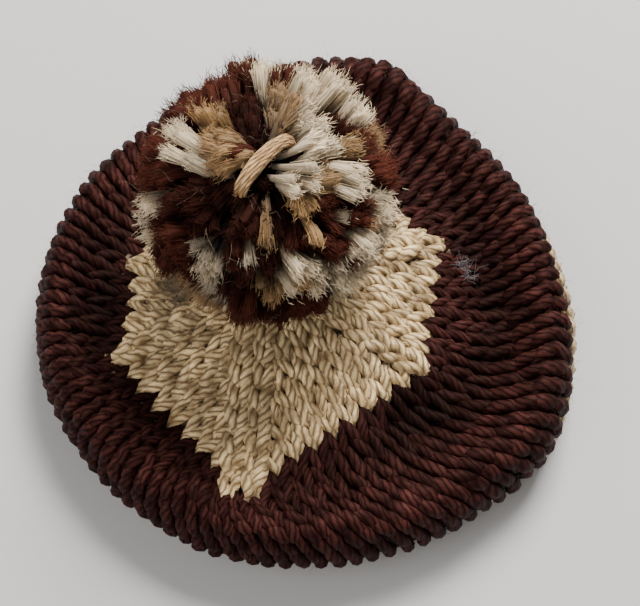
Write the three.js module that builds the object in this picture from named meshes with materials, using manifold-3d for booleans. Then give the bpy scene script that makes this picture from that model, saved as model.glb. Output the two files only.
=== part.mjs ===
// A knitted tam o shanter of doll size, lying crown up on a flat surface.
// Millimetres, +Z up, the viewer stands at -Y. The crown is a soft disc of stockinette with
// 49 wales that run from a light seven-cornered star over a dark ring to the rim. The
// light underside turns back to a narrow band, and a pompom sits on the star.
import * as THREE from 'three';
import { mergeVertices } from 'three/addons/utils/BufferGeometryUtils.js';
import Module from 'manifold-3d';

const wasm = await Module();
wasm.setup();

// Driving sizes
const RIM_RADIUS = 55; // the disc's radius, which the outline table shapes
const CLOTH = 3.4; // thickness of the knitted cloth
const GAP = 0.3; // clearance between pieces that touch
const LOFT = 7.5; // how far the crown stands above the layers that lie on the band
const PEAK = 3.6; // extra height of the crown under the pompom
const PEAK_SPREAD = 21;
const BAND_RADIUS = 33; // outer face of the band
const BAND_HEIGHT = 6;
const WALES = 49;
const RIB = 0.7; // height of a wale above the furrow beside it
const SCALLOP = 1.1; // how far a light wale's last stitch points into the dark ring
const COLOUR_BELOW = 2.6; // the dark ring ends this far past the rim's widest line
const TURNED_UP = 11.5; // and this much earlier where the rim has rolled over
const POMPOM_RADIUS = 24.5;
const POMPOM_LOCKS = 46;
const LOCK_WIDTH = 10.5;
const TIE_WIDTH = 5.2;
const TIE_DEPTH = 3.6;

// Angles, degrees, counted from +X towards +Y
const ROLLED_AT = 4; // the middle of the stretch of rim that has rolled over
const ROLLED_SPREAD = 30;
const TIE_AT = 47; // the way the tie points on top of the pompom

// Places as shares of the rim's radius and of the pompom's radius
const STAR_MIDDLE = { x: -0.16, y: 0.05 };
const POMPOM_LEAN = { x: 0.08, y: 0.17 };
const POMPOM_SEAT = 0.82; // the pompom's middle above the crown
const POMPOM_HEAD = 0.76; // the solid heart of the pompom
const POMPOM_SQUAT = 0.15; // how much the lowest locks are pressed short
const TIE_MIDDLE = { x: 0.03, y: -0.16 }; // from the pompom's middle, in plan

// The rim's outline: how far the rim reaches at each angle, a share of RIM_RADIUS
const OUTLINE = [
  { at: 0, reach: 0.99 }, { at: 16, reach: 0.965 }, { at: 34, reach: 0.97 },
  { at: 50, reach: 0.985 }, { at: 61, reach: 1.03 }, { at: 71, reach: 1.1 },
  { at: 83, reach: 1.1 }, { at: 97, reach: 1.055 }, { at: 115, reach: 1.005 },
  { at: 135, reach: 0.995 }, { at: 155, reach: 1.0 }, { at: 175, reach: 0.995 },
  { at: 195, reach: 0.99 }, { at: 215, reach: 0.97 }, { at: 235, reach: 0.965 },
  { at: 255, reach: 0.965 }, { at: 275, reach: 0.965 }, { at: 295, reach: 0.975 },
  { at: 313, reach: 1.0 }, { at: 330, reach: 1.04 }, { at: 345, reach: 1.015 },
];

// The star's corners, shares of RIM_RADIUS from the disc's middle
const STAR = [
  { at: 24, reach: 0.54 }, { at: 85, reach: 0.58 }, { at: 132, reach: 0.64 },
  { at: 168, reach: 0.64 }, { at: 200, reach: 0.705 }, { at: 254, reach: 0.765 },
  { at: 325, reach: 0.52 },
];

// One section from the disc's middle over the crown to the rim. reach is a share of the
// rim's reach, layers a share of the layers that lie on the band, loft a share of LOFT.
const CROWN = [
  { reach: 0.0, layers: 1.0, loft: 0.8 },
  { reach: 0.14, layers: 1.0, loft: 0.8 },
  { reach: 0.3, layers: 1.0, loft: 0.74 },
  { reach: 0.45, layers: 1.0, loft: 0.6 },
  { reach: 0.58, layers: 1.0, loft: 0.43 },
  { reach: 0.68, layers: 1.0, loft: 0.38 },
  { reach: 0.78, layers: 1.0, loft: 0.54 },
  { reach: 0.87, layers: 1.0, loft: 0.76 },
  { reach: 0.94, layers: 0.96, loft: 0.66 },
  { reach: 0.985, layers: 0.8, loft: 0.38 },
  { reach: 1.0, layers: 0.56, loft: 0.1 },
];

// The section goes on from the rim to the band. inset is a share of the way from the rim
// to the band's inner face, seat of the band's top, rim of the rim's own height.
const UNDERSIDE = [
  { inset: 0.03, seat: 0.0, rim: 0.57 },
  { inset: 0.12, seat: 0.02, rim: 0.28 },
  { inset: 0.26, seat: 0.05, rim: 0.16 },
  { inset: 0.42, seat: 0.3, rim: 0.1 },
  { inset: 0.58, seat: 0.72, rim: 0.04 },
  { inset: 0.73, seat: 0.99, rim: 0.01 },
  { inset: 0.87, seat: 1.0, rim: 0.0 },
  { inset: 1.0, seat: 1.0, rim: 0.0 },
];

// Folds and dents of the crown: an angle and a reach with their spreads, and the rise as
// a share of LOFT
const FOLDS = [
  { at: 313, turn: 12, reach: 0.58, width: 0.1, rise: -0.36 }, // dent beside the star
  { at: 180, turn: 16, reach: 0.74, width: 0.08, rise: -0.3 }, // hollow left of the star
  { at: 2, turn: 28, reach: 0.69, width: 0.06, rise: -0.26 }, // crease inside the right rim
  { at: 345, turn: 24, reach: 0.86, width: 0.08, rise: 0.2 }, // full roll at the right
  { at: 72, turn: 11, reach: 0.9, width: 0.1, rise: 0.3 }, // blunt corner at the back
  { at: 222, turn: 14, reach: 0.68, width: 0.08, rise: -0.18 }, // furrow beside the tip
  { at: 280, turn: 14, reach: 0.7, width: 0.08, rise: -0.16 }, // and on its other side
];

// How many steps each piece takes along the section
const STAR_STEPS = 6;
const RING_STEPS = 8;
const UNDERSIDE_STEPS = 7;
const INNER_STEPS = 4;
const COLUMNS = 2 * WALES; // one on each wale and one in each furrow

const materials = {
  dark: new THREE.MeshStandardMaterial({ color: 0x43231f, roughness: 0.92, metalness: 0 }),
  light: new THREE.MeshStandardMaterial({ color: 0xc4ac80, roughness: 0.9, metalness: 0 }),
  mixed: new THREE.MeshStandardMaterial({ color: 0x8a6b54, roughness: 0.95, metalness: 0 }),
  tan: new THREE.MeshStandardMaterial({ color: 0xc29a68, roughness: 0.9, metalness: 0 }),
};

const turn = 2 * Math.PI;
const radians = (degrees) => (degrees * Math.PI) / 180;
const clamp = (value, low, high) => Math.min(high, Math.max(low, value));
const seatHeight = BAND_HEIGHT + RIB / 2 + GAP;
const layers = seatHeight + 2 * CLOTH;
const bandInner = BAND_RADIUS - CLOTH;

// The shorter way between two angles, radians
function between(from, to) {
  const way = (((to - from) % turn) + turn) % turn;
  return way > Math.PI ? way - turn : way;
}

// A smooth curve through evenly counted values
function through(values, place) {
  const last = values.length - 1;
  const i = clamp(Math.floor(place), 0, last - 1);
  const f = place - i;
  const [a, b, c, d] = [-1, 0, 1, 2].map((k) => values[clamp(i + k, 0, last)]);
  const curve = 2 * b + (c - a) * f + (2 * a - 5 * b + 4 * c - d) * f * f;
  return (curve + (3 * b - a - 3 * c + d) * f * f * f) / 2;
}

// How far the rim reaches at an angle
function rimReach(angle) {
  const degrees = ((((angle * 180) / Math.PI) % 360) + 360) % 360;
  const count = OUTLINE.length;
  let row = count - 1;
  while (OUTLINE[row].at > degrees) row -= 1;
  const at = (k) => OUTLINE[(k + count) % count].at + 360 * Math.floor(k / count);
  const reach = (k) => OUTLINE[(k + count) % count].reach;
  const span = at(row + 1) - at(row);
  const f = (degrees - at(row)) / span;
  const slope = (k) => ((reach(k + 1) - reach(k - 1)) / (at(k + 1) - at(k - 1))) * span;
  const [f2, f3] = [f * f, f * f * f];
  const share =
    (2 * f3 - 3 * f2 + 1) * reach(row) + (f3 - 2 * f2 + f) * slope(row) +
    (3 * f2 - 2 * f3) * reach(row + 1) + (f3 - f2) * slope(row + 1);
  return share * RIM_RADIUS;
}

// The section at an angle, as two lists of radius and height, row by row
function section(reach) {
  const radius = CROWN.map((row) => row.reach * reach);
  const height = CROWN.map((row) => row.layers * layers + row.loft * LOFT);
  const rimHeight = height[height.length - 1];
  for (const row of UNDERSIDE) {
    radius.push(reach + (bandInner - reach) * row.inset);
    height.push(row.seat * seatHeight + row.rim * rimHeight);
  }
  return { radius, height };
}

// Lengths along the plain section, to step evenly from row to row
const plain = section(RIM_RADIUS);
const rimRow = CROWN.length - 1;
const lastRow = plain.radius.length - 1;
const FINE = 24;
const lengths = [0];
for (let i = 1; i <= lastRow * FINE; i += 1) {
  const [a, b] = [(i - 1) / FINE, i / FINE];
  const dr = through(plain.radius, b) - through(plain.radius, a);
  const dz = through(plain.height, b) - through(plain.height, a);
  lengths.push(lengths[i - 1] + Math.hypot(dr, dz));
}
const wholeLength = lengths[lengths.length - 1];
const rimLength = lengths[rimRow * FINE];

// The row count at a length along the section
function rowAt(length) {
  let i = 1;
  while (i < lengths.length - 1 && lengths[i] < length) i += 1;
  return (i - 1 + (length - lengths[i - 1]) / (lengths[i] - lengths[i - 1])) / FINE;
}

// The length along the section at a share of the rim's reach, on the crown's top
function lengthAt(share) {
  let [low, high] = [0, lengths[Math.floor(rimRow * FINE)]];
  for (let i = 0; i < 30; i += 1) {
    const middle = (low + high) / 2;
    if (through(plain.radius, rowAt(middle)) < share * RIM_RADIUS) low = middle;
    else high = middle;
  }
  return (low + high) / 2;
}

// Folds, dents and the peak under the pompom, at a plan point of the crown
function relief(x, y) {
  const angle = Math.atan2(y, x);
  const share = Math.hypot(x, y) / rimReach(angle);
  const peak = Math.hypot(x - STAR_MIDDLE.x * RIM_RADIUS, y - STAR_MIDDLE.y * RIM_RADIUS);
  let rise = PEAK * Math.exp(-((peak / PEAK_SPREAD) ** 2));
  for (const fold of FOLDS) {
    const aside = between(radians(fold.at), angle) / radians(fold.turn);
    const along = (share - fold.reach) / fold.width;
    rise += fold.rise * LOFT * Math.exp(-aside * aside - along * along);
  }
  return rise;
}

// A point of the hat's outer surface at an angle and a length along the section
function surface(angle, length) {
  const { radius, height } = section(rimReach(angle));
  const row = rowAt(length);
  const r = through(radius, row);
  const [x, y] = [r * Math.cos(angle), r * Math.sin(angle)];
  const fade = clamp(rimRow - row, 0, 1);
  return new THREE.Vector3(x, y, through(height, row) + relief(x, y) * fade);
}

// The outward direction there
function outward(angle, length) {
  const step = 0.05;
  const across = surface(angle + step / RIM_RADIUS, length);
  across.sub(surface(angle - step / RIM_RADIUS, length));
  const low = clamp(length - step, 0, wholeLength - 2 * step);
  const along = surface(angle, low + 2 * step).sub(surface(angle, low));
  return along.cross(across).normalize();
}

// The crown's height over a plan point
function crownHeight(x, y) {
  const angle = Math.atan2(y, x);
  const share = Math.hypot(x, y) / rimReach(angle);
  return through(plain.height, rowAt(lengthAt(share))) + relief(x, y);
}

// The crown's upward direction over a plan point
function crownOutward(x, y) {
  const step = 0.1;
  const dx = (crownHeight(x + step, y) - crownHeight(x - step, y)) / (2 * step);
  const dy = (crownHeight(x, y + step) - crownHeight(x, y - step)) / (2 * step);
  return new THREE.Vector3(-dx, -dy, 1).normalize();
}

// The distance from the disc's middle to the star's straight edge at an angle
function starReach(angle) {
  const corners = STAR.map(({ at, reach }) => ({
    x: reach * RIM_RADIUS * Math.cos(radians(at)),
    y: reach * RIM_RADIUS * Math.sin(radians(at)),
  }));
  const [c, s] = [Math.cos(angle), Math.sin(angle)];
  for (let i = 0; i < corners.length; i += 1) {
    const [a, b] = [corners[i], corners[(i + 1) % corners.length]];
    const cross = (b.x - a.x) * s - (b.y - a.y) * c;
    const reach = ((b.x - a.x) * a.y - (b.y - a.y) * a.x) / cross;
    const along = (c * a.y - s * a.x) / cross;
    if (reach > 0 && along >= 0 && along <= 1) return reach;
  }
  return STAR[0].reach * RIM_RADIUS;
}

// 1 on a wale, -1 in a furrow
const wave = (angle) => Math.cos(angle * WALES);

// Where the star ends at an angle, a share of the rim's reach
const starShare = (angle) =>
  (starReach(angle) + (SCALLOP / 2) * wave(angle)) / rimReach(angle);

// Where the dark ring ends at an angle, a length along the section
function colourLength(angle) {
  const aside = between(radians(ROLLED_AT), angle) / radians(ROLLED_SPREAD);
  return rimLength + COLOUR_BELOW - TURNED_UP * Math.exp(-aside * aside);
}

// A closed mesh from rings of points, each ring a list with one point for each column.
// A loop of rings closes on itself, and otherwise the first and last rings are points.
// The order of the rings sets which way the faces are split, so of two walls that face
// each other across a gap one is listed backwards.
function meshOfRings(rings, loop) {
  const positions = [];
  const faces = [];
  const start = [];
  for (const ring of rings) {
    start.push(positions.length / 3);
    for (const point of ring) positions.push(point.x, point.y, point.z);
  }
  const count = Math.max(...rings.map((ring) => ring.length));
  const steps = loop ? rings.length : rings.length - 1;
  for (let j = 0; j < steps; j += 1) {
    const k = (j + 1) % rings.length;
    const [near, far] = [rings[j].length, rings[k].length];
    for (let i = 0; i < count; i += 1) {
      const [a, b] = [start[j] + (i % near), start[j] + ((i + 1) % near)];
      const [c, d] = [start[k] + (i % far), start[k] + ((i + 1) % far)];
      if (near > 1) faces.push(a, b, d);
      if (far > 1) faces.push(a, d, c);
    }
  }
  return orient(positions, faces);
}

// A geometry whose faces point out, whatever way its rings were listed
function orient(positions, faces) {
  const corner = (i) => new THREE.Vector3().fromArray(positions, 3 * faces[i]);
  let volume = 0;
  for (let i = 0; i < faces.length; i += 3) {
    volume += corner(i).dot(corner(i + 1).cross(corner(i + 2)));
  }
  const index = volume < 0 ? faces.slice().reverse() : faces;
  const geometry = new THREE.BufferGeometry();
  geometry.setAttribute('position', new THREE.Float32BufferAttribute(positions, 3));
  geometry.setIndex(index);
  geometry.computeVertexNormals();
  return geometry;
}

const columnAngles = Array.from({ length: COLUMNS }, (_, i) => (turn * i) / COLUMNS);
const ringOf = (place) => columnAngles.map((angle) => place(angle));

// Rings for a wall of cloth between two lengths along the section, ribbed outside and
// plain inside
function wall(from, to, outerSteps, innerSteps) {
  const rings = [];
  for (let i = 0; i <= outerSteps; i += 1) {
    rings.push(ringOf((angle) => {
      const length = from(angle) + ((to(angle) - from(angle)) * i) / outerSteps;
      const rib = (RIB / 2) * wave(angle);
      return surface(angle, length).addScaledVector(outward(angle, length), rib);
    }));
  }
  for (let i = innerSteps; i >= 0; i -= 1) {
    rings.push(ringOf((angle) => {
      const length = from(angle) + ((to(angle) - from(angle)) * i) / innerSteps;
      return surface(angle, length).addScaledVector(outward(angle, length), -CLOTH);
    }));
  }
  return rings;
}

function darkRing() {
  const from = (angle) => lengthAt(starShare(angle)) + GAP / 2;
  const to = (angle) => colourLength(angle) - GAP / 2;
  return meshOfRings(wall(from, to, RING_STEPS, INNER_STEPS + 1), true);
}

function lightUnderside() {
  const from = (angle) => colourLength(angle) + GAP / 2;
  const rings = wall(from, () => wholeLength, UNDERSIDE_STEPS, INNER_STEPS);
  return meshOfRings(rings.reverse(), true);
}

// The star's cloth: lines from its middle to its scalloped edge, above and below
function lightStar() {
  const middle = new THREE.Vector2(STAR_MIDDLE.x, STAR_MIDDLE.y).multiplyScalar(RIM_RADIUS);
  const place = (angle, share, lift) => {
    const edge = starShare(angle) * rimReach(angle) - GAP / 2;
    const x = middle.x + (edge * Math.cos(angle) - middle.x) * share;
    const y = middle.y + (edge * Math.sin(angle) - middle.y) * share;
    const point = new THREE.Vector3(x, y, crownHeight(x, y));
    return point.addScaledVector(crownOutward(x, y), lift(angle, share));
  };
  const rib = (angle, share) => (RIB / 2) * wave(angle) * share;
  const point = (lift) => [place(0, 0, lift)];
  const rings = [point(() => 0)];
  for (let i = 1; i <= STAR_STEPS; i += 1) {
    rings.push(ringOf((angle) => place(angle, i / STAR_STEPS, rib)));
  }
  for (let i = INNER_STEPS; i >= 1; i -= 1) {
    rings.push(ringOf((angle) => place(angle, i / INNER_STEPS, () => -CLOTH)));
  }
  rings.push(point(() => -CLOTH));
  return meshOfRings(rings.reverse(), false);
}

// The band stands on the surface, ribbed outside, flat at its foot and top
function bandOfRibs() {
  const outer = (angle) => BAND_RADIUS - RIB / 2 + (RIB / 2) * wave(angle);
  const rows = [
    { radius: outer, z: 0 },
    { radius: outer, z: BAND_HEIGHT },
    { radius: () => bandInner, z: BAND_HEIGHT },
    { radius: () => bandInner, z: 0 },
  ];
  return meshOfRings(rows.map(({ radius, z }) => ringOf((angle) => {
    const r = radius(angle);
    return new THREE.Vector3(r * Math.cos(angle), r * Math.sin(angle), z);
  })), true);
}

const starX = STAR_MIDDLE.x * RIM_RADIUS;
const starY = STAR_MIDDLE.y * RIM_RADIUS;
const pompomMiddle = new THREE.Vector3(
  starX + POMPOM_LEAN.x * POMPOM_RADIUS,
  starY + POMPOM_LEAN.y * POMPOM_RADIUS,
  crownHeight(starX, starY) + POMPOM_SEAT * POMPOM_RADIUS,
);

// A solid for joining and cutting
function solid(geometry) {
  const bare = geometry.clone();
  bare.deleteAttribute('normal');
  bare.deleteAttribute('uv');
  const merged = mergeVertices(bare, 1e-4);
  return new wasm.Manifold(new wasm.Mesh({
    numProp: 3,
    vertProperties: new Float32Array(merged.attributes.position.array),
    triVerts: new Uint32Array(merged.index.array),
  }));
}

function geometryOf(manifold) {
  const mesh = manifold.getMesh();
  const geometry = new THREE.BufferGeometry();
  geometry.setAttribute('position', new THREE.BufferAttribute(mesh.vertProperties, 3));
  geometry.setIndex(new THREE.BufferAttribute(mesh.triVerts, 1));
  geometry.computeVertexNormals();
  return geometry;
}

// One lock of cut yarn, narrow at its root, full near its blunt end, standing on +Y
function lock(reach, width) {
  const root = reach * 0.3;
  const profile = [
    new THREE.Vector2(0, root),
    new THREE.Vector2(width * 0.3, root),
    new THREE.Vector2(width * 0.5, reach * 0.86),
    new THREE.Vector2(width * 0.34, reach * 0.98),
    new THREE.Vector2(0, reach),
  ];
  return new THREE.LatheGeometry(profile, 5);
}

// The tie's middle line: over the top of the pompom, with both ends drawn into it
function tieCurve() {
  const along = new THREE.Vector3(Math.cos(radians(TIE_AT)), Math.sin(radians(TIE_AT)), 0);
  const rows = [
    { along: -0.46, up: 0.45 }, { along: -0.4, up: 0.64 }, { along: -0.26, up: 0.82 },
    { along: -0.06, up: 0.91 }, { along: 0.14, up: 0.93 }, { along: 0.3, up: 0.84 },
    { along: 0.37, up: 0.64 },
  ];
  const lift = new THREE.Vector3(TIE_MIDDLE.x, TIE_MIDDLE.y, 0);
  return new THREE.CatmullRomCurve3(rows.map((row) => along.clone()
    .multiplyScalar(row.along).add(lift).setZ(row.up)
    .multiplyScalar(POMPOM_RADIUS).add(pompomMiddle)));
}

// A closed strand of oval section along the tie's line, grown by a clearance
function strand(grow) {
  const shape = new THREE.Shape();
  const sides = 8;
  for (let i = 0; i < sides; i += 1) {
    const angle = (turn * (i + 0.5)) / sides;
    const x = (TIE_DEPTH / 2 + grow) * Math.cos(angle);
    const y = (TIE_WIDTH / 2 + grow) * Math.sin(angle);
    if (i === 0) shape.moveTo(x, y);
    else shape.lineTo(x, y);
  }
  shape.closePath();
  return new THREE.ExtrudeGeometry(shape, { steps: 16, extrudePath: tieCurve() });
}

// The pompom: locks fused to a head, trimmed to the crown below and grooved for the tie
function pompomOfLocks() {
  const head = new THREE.SphereGeometry(POMPOM_HEAD * POMPOM_RADIUS, 12, 8);
  let pompom = solid(head);
  const golden = Math.PI * (3 - Math.sqrt(5));
  for (let i = 0; i < POMPOM_LOCKS; i += 1) {
    const z = 1 - (2 * (i + 0.5)) / POMPOM_LOCKS;
    const flat = Math.sqrt(1 - z * z);
    const direction = new THREE.Vector3(
      flat * Math.cos(golden * i), flat * Math.sin(golden * i), z);
    const uneven = 1 + 0.055 * Math.sin(2.4 * i) + 0.03 * Math.sin(5.3 * i + 1);
    const squat = 1 - POMPOM_SQUAT * Math.max(0, -z);
    const one = lock(POMPOM_RADIUS * uneven * squat, LOCK_WIDTH * (1 + 0.16 * Math.sin(3.1 * i)));
    const stand = new THREE.Quaternion().setFromUnitVectors(
      new THREE.Vector3(0, 1, 0), direction);
    one.applyQuaternion(stand);
    pompom = pompom.add(solid(one));
  }
  const placed = geometryOf(pompom);
  placed.translate(pompomMiddle.x, pompomMiddle.y, pompomMiddle.z);
  const seated = solid(placed).subtract(solid(crownBlock())).subtract(solid(strand(GAP)));
  return geometryOf(seated);
}

// A block whose top is the crown's surface lifted by the ribs and a clearance
function crownBlock() {
  const columns = 30;
  const steps = 8;
  const reach = 1.25 * POMPOM_RADIUS;
  const ringAt = (share, place) => Array.from({ length: columns }, (_, i) => {
    const angle = (turn * i) / columns;
    return place(starX + share * reach * Math.cos(angle),
      starY + share * reach * Math.sin(angle));
  });
  const top = (x, y) => new THREE.Vector3(x, y, crownHeight(x, y) + RIB / 2 + GAP);
  const bottom = (x, y) => new THREE.Vector3(x, y, 0);
  const rings = [[top(starX, starY)]];
  for (let i = 1; i <= steps; i += 1) rings.push(ringAt(i / steps, top));
  rings.push(ringAt(1, bottom), [bottom(starX, starY)]);
  return meshOfRings(rings, false);
}

const hat = new THREE.Group();
function place(name, geometry, material) {
  const mesh = new THREE.Mesh(geometry, material);
  mesh.name = name;
  hat.add(mesh);
}

place('crown_star', lightStar(), materials.light.clone());
place('crown_ring', darkRing(), materials.dark);
place('underside', lightUnderside(), materials.light.clone());
place('headband', bandOfRibs(), materials.light.clone());
place('pompom', pompomOfLocks(), materials.mixed);
place('pompom_tie', strand(0), materials.tan);

// The origin lies below the middle of the hat's box, on the surface that it rests on
const box = new THREE.Box3().setFromObject(hat);
const centre = box.getCenter(new THREE.Vector3());
hat.position.set(-centre.x, -centre.y, -box.min.z);

const tam = new THREE.Group();
tam.add(hat);
export default tam;
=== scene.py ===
"""A knitted tam o shanter of doll size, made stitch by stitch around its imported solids.

Lengths are metres, +Z is up and the viewer stands at -Y. The crown, underside and band are
knitted from separate loops of plied yarn that follow the solids' own form. The pompom is
some 830 cut yarns of fine fibres that spread from the tie on its top.
"""
from __future__ import annotations

import logging
import math
from dataclasses import dataclass, field
from enum import Enum
from functools import cached_property
from typing import Callable

import bpy
import numpy as np
from mathutils import Matrix, Vector

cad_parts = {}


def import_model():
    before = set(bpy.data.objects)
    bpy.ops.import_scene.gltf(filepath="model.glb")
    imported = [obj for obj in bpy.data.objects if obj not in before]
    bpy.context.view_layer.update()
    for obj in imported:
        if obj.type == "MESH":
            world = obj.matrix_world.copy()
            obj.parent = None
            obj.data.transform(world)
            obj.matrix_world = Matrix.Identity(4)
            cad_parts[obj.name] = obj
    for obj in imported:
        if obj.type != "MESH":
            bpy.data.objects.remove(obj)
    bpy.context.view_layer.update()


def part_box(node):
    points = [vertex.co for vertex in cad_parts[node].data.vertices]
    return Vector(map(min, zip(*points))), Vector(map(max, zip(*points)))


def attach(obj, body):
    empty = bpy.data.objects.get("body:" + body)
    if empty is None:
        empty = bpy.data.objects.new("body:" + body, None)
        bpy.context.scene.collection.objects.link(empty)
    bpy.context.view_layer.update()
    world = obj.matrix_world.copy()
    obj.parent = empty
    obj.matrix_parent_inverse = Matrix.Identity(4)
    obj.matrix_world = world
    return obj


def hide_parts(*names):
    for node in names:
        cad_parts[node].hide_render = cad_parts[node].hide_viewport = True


log = logging.getLogger("tam")

Array = np.ndarray
Colour = tuple[float, float, float]
Point = tuple[float, float, float]
Place = Callable[[Array, Array], tuple[Array, Array]]

TURN = 2 * math.pi
MM = 0.001
BODY = "root"
UV_NAME = "yarn"
TONE = "tone"
DEPTH = "depth"
TINY = 1e-12
YARN_PITCH = 2.4 * MM  # the length of knitting yarn that counts as one along its UV map
HALF_WALE = 0.49  # just inside a wale's border, where it still counts as the same wale
BACKING_DEPTH = 1.9 * MM  # how deep under the surface the knit's backing lies
BACKING_THICKNESS = 0.4 * MM

# The rim's outline: an angle in degrees and the rim's reach there, a share of its radius
OUTLINE = (
    (0, 0.99), (16, 0.965), (34, 0.97), (50, 0.985), (61, 1.03), (71, 1.1), (83, 1.1),
    (97, 1.055), (115, 1.005), (135, 0.995), (155, 1.0), (175, 0.995), (195, 0.99),
    (215, 0.97), (235, 0.965), (255, 0.965), (275, 0.965), (295, 0.975), (313, 1.0),
    (330, 1.04), (345, 1.015),
)

# The star's corners: an angle in degrees, a share of the rim's radius, how many columns of
# stitches lie between this corner and the next, and how many run along the corner itself
STAR = (
    (24, 0.54, 7, 1), (85, 0.58, 6, 1), (132, 0.64, 5, 1), (168, 0.64, 5, 1),
    (200, 0.705, 9, 1), (254, 0.765, 10, 2), (325, 0.52, 7, 1),
)

# The crown's section: shares of the rim's reach, of the layers on the band and of the loft
CROWN = (
    (0.0, 1.0, 0.8), (0.14, 1.0, 0.8), (0.3, 1.0, 0.74), (0.45, 1.0, 0.6),
    (0.58, 1.0, 0.43), (0.68, 1.0, 0.38), (0.78, 1.0, 0.54), (0.87, 1.0, 0.76),
    (0.94, 0.96, 0.66), (0.985, 0.8, 0.38), (1.0, 0.56, 0.1),
)

# The section under the rim: shares of the way to the band's inner face, of the band's top
# and of the rim's own height
UNDERSIDE = (
    (0.03, 0.0, 0.57), (0.12, 0.02, 0.28), (0.26, 0.05, 0.16), (0.42, 0.3, 0.1),
    (0.58, 0.72, 0.04), (0.73, 0.99, 0.01), (0.87, 1.0, 0.0), (1.0, 1.0, 0.0),
)

# Folds and dents: angle and spread in degrees, reach and spread, rise as a share of loft
FOLDS = (
    (313, 12, 0.58, 0.1, -0.36), (180, 16, 0.74, 0.08, -0.3), (2, 28, 0.69, 0.06, -0.26),
    (345, 24, 0.86, 0.08, 0.2), (72, 11, 0.9, 0.1, 0.3), (222, 14, 0.68, 0.08, -0.18),
    (280, 14, 0.7, 0.08, -0.16),
)


def unit(vectors: Array) -> Array:
    """Returns the vectors with a length of one."""
    return vectors / np.maximum(np.linalg.norm(vectors, axis=-1, keepdims=True), TINY)


def rgba(colour: Colour) -> tuple[float, float, float, float]:
    """Returns a colour that covers fully."""
    return (*colour, 1.0)


def smooth(share: Array) -> Array:
    """Returns a soft step: three shares squared less two shares cubed."""
    share = np.clip(share, 0.0, 1.0)
    return share * share * (3 - 2 * share)


def through(values: Array, place: Array) -> Array:
    """A smooth curve through evenly counted values.

    Half of 2b + (c-a)f + (2a-5b+4c-d)f^2 + (3b-a-3c+d)f^3, from four neighbours a to d.

    Args:
        values: The values, one for each count.
        place: Where along the count the curve is wanted.

    Returns:
        The curve's values there.
    """
    last = len(values) - 1
    i = np.clip(np.floor(place).astype(int), 0, last - 1)
    f = place - i
    a, b, c, d = (values[np.clip(i + k, 0, last)] for k in (-1, 0, 1, 2))
    curve = 2 * b + (c - a) * f + (2 * a - 5 * b + 4 * c - d) * f**2
    return (curve + (3 * b - a - 3 * c + d) * f**3) / 2


def between(start: Array | float, end: Array) -> Array:
    """Returns the shorter way from one angle to another, in radians."""
    return (end - start + math.pi) % TURN - math.pi


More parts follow.
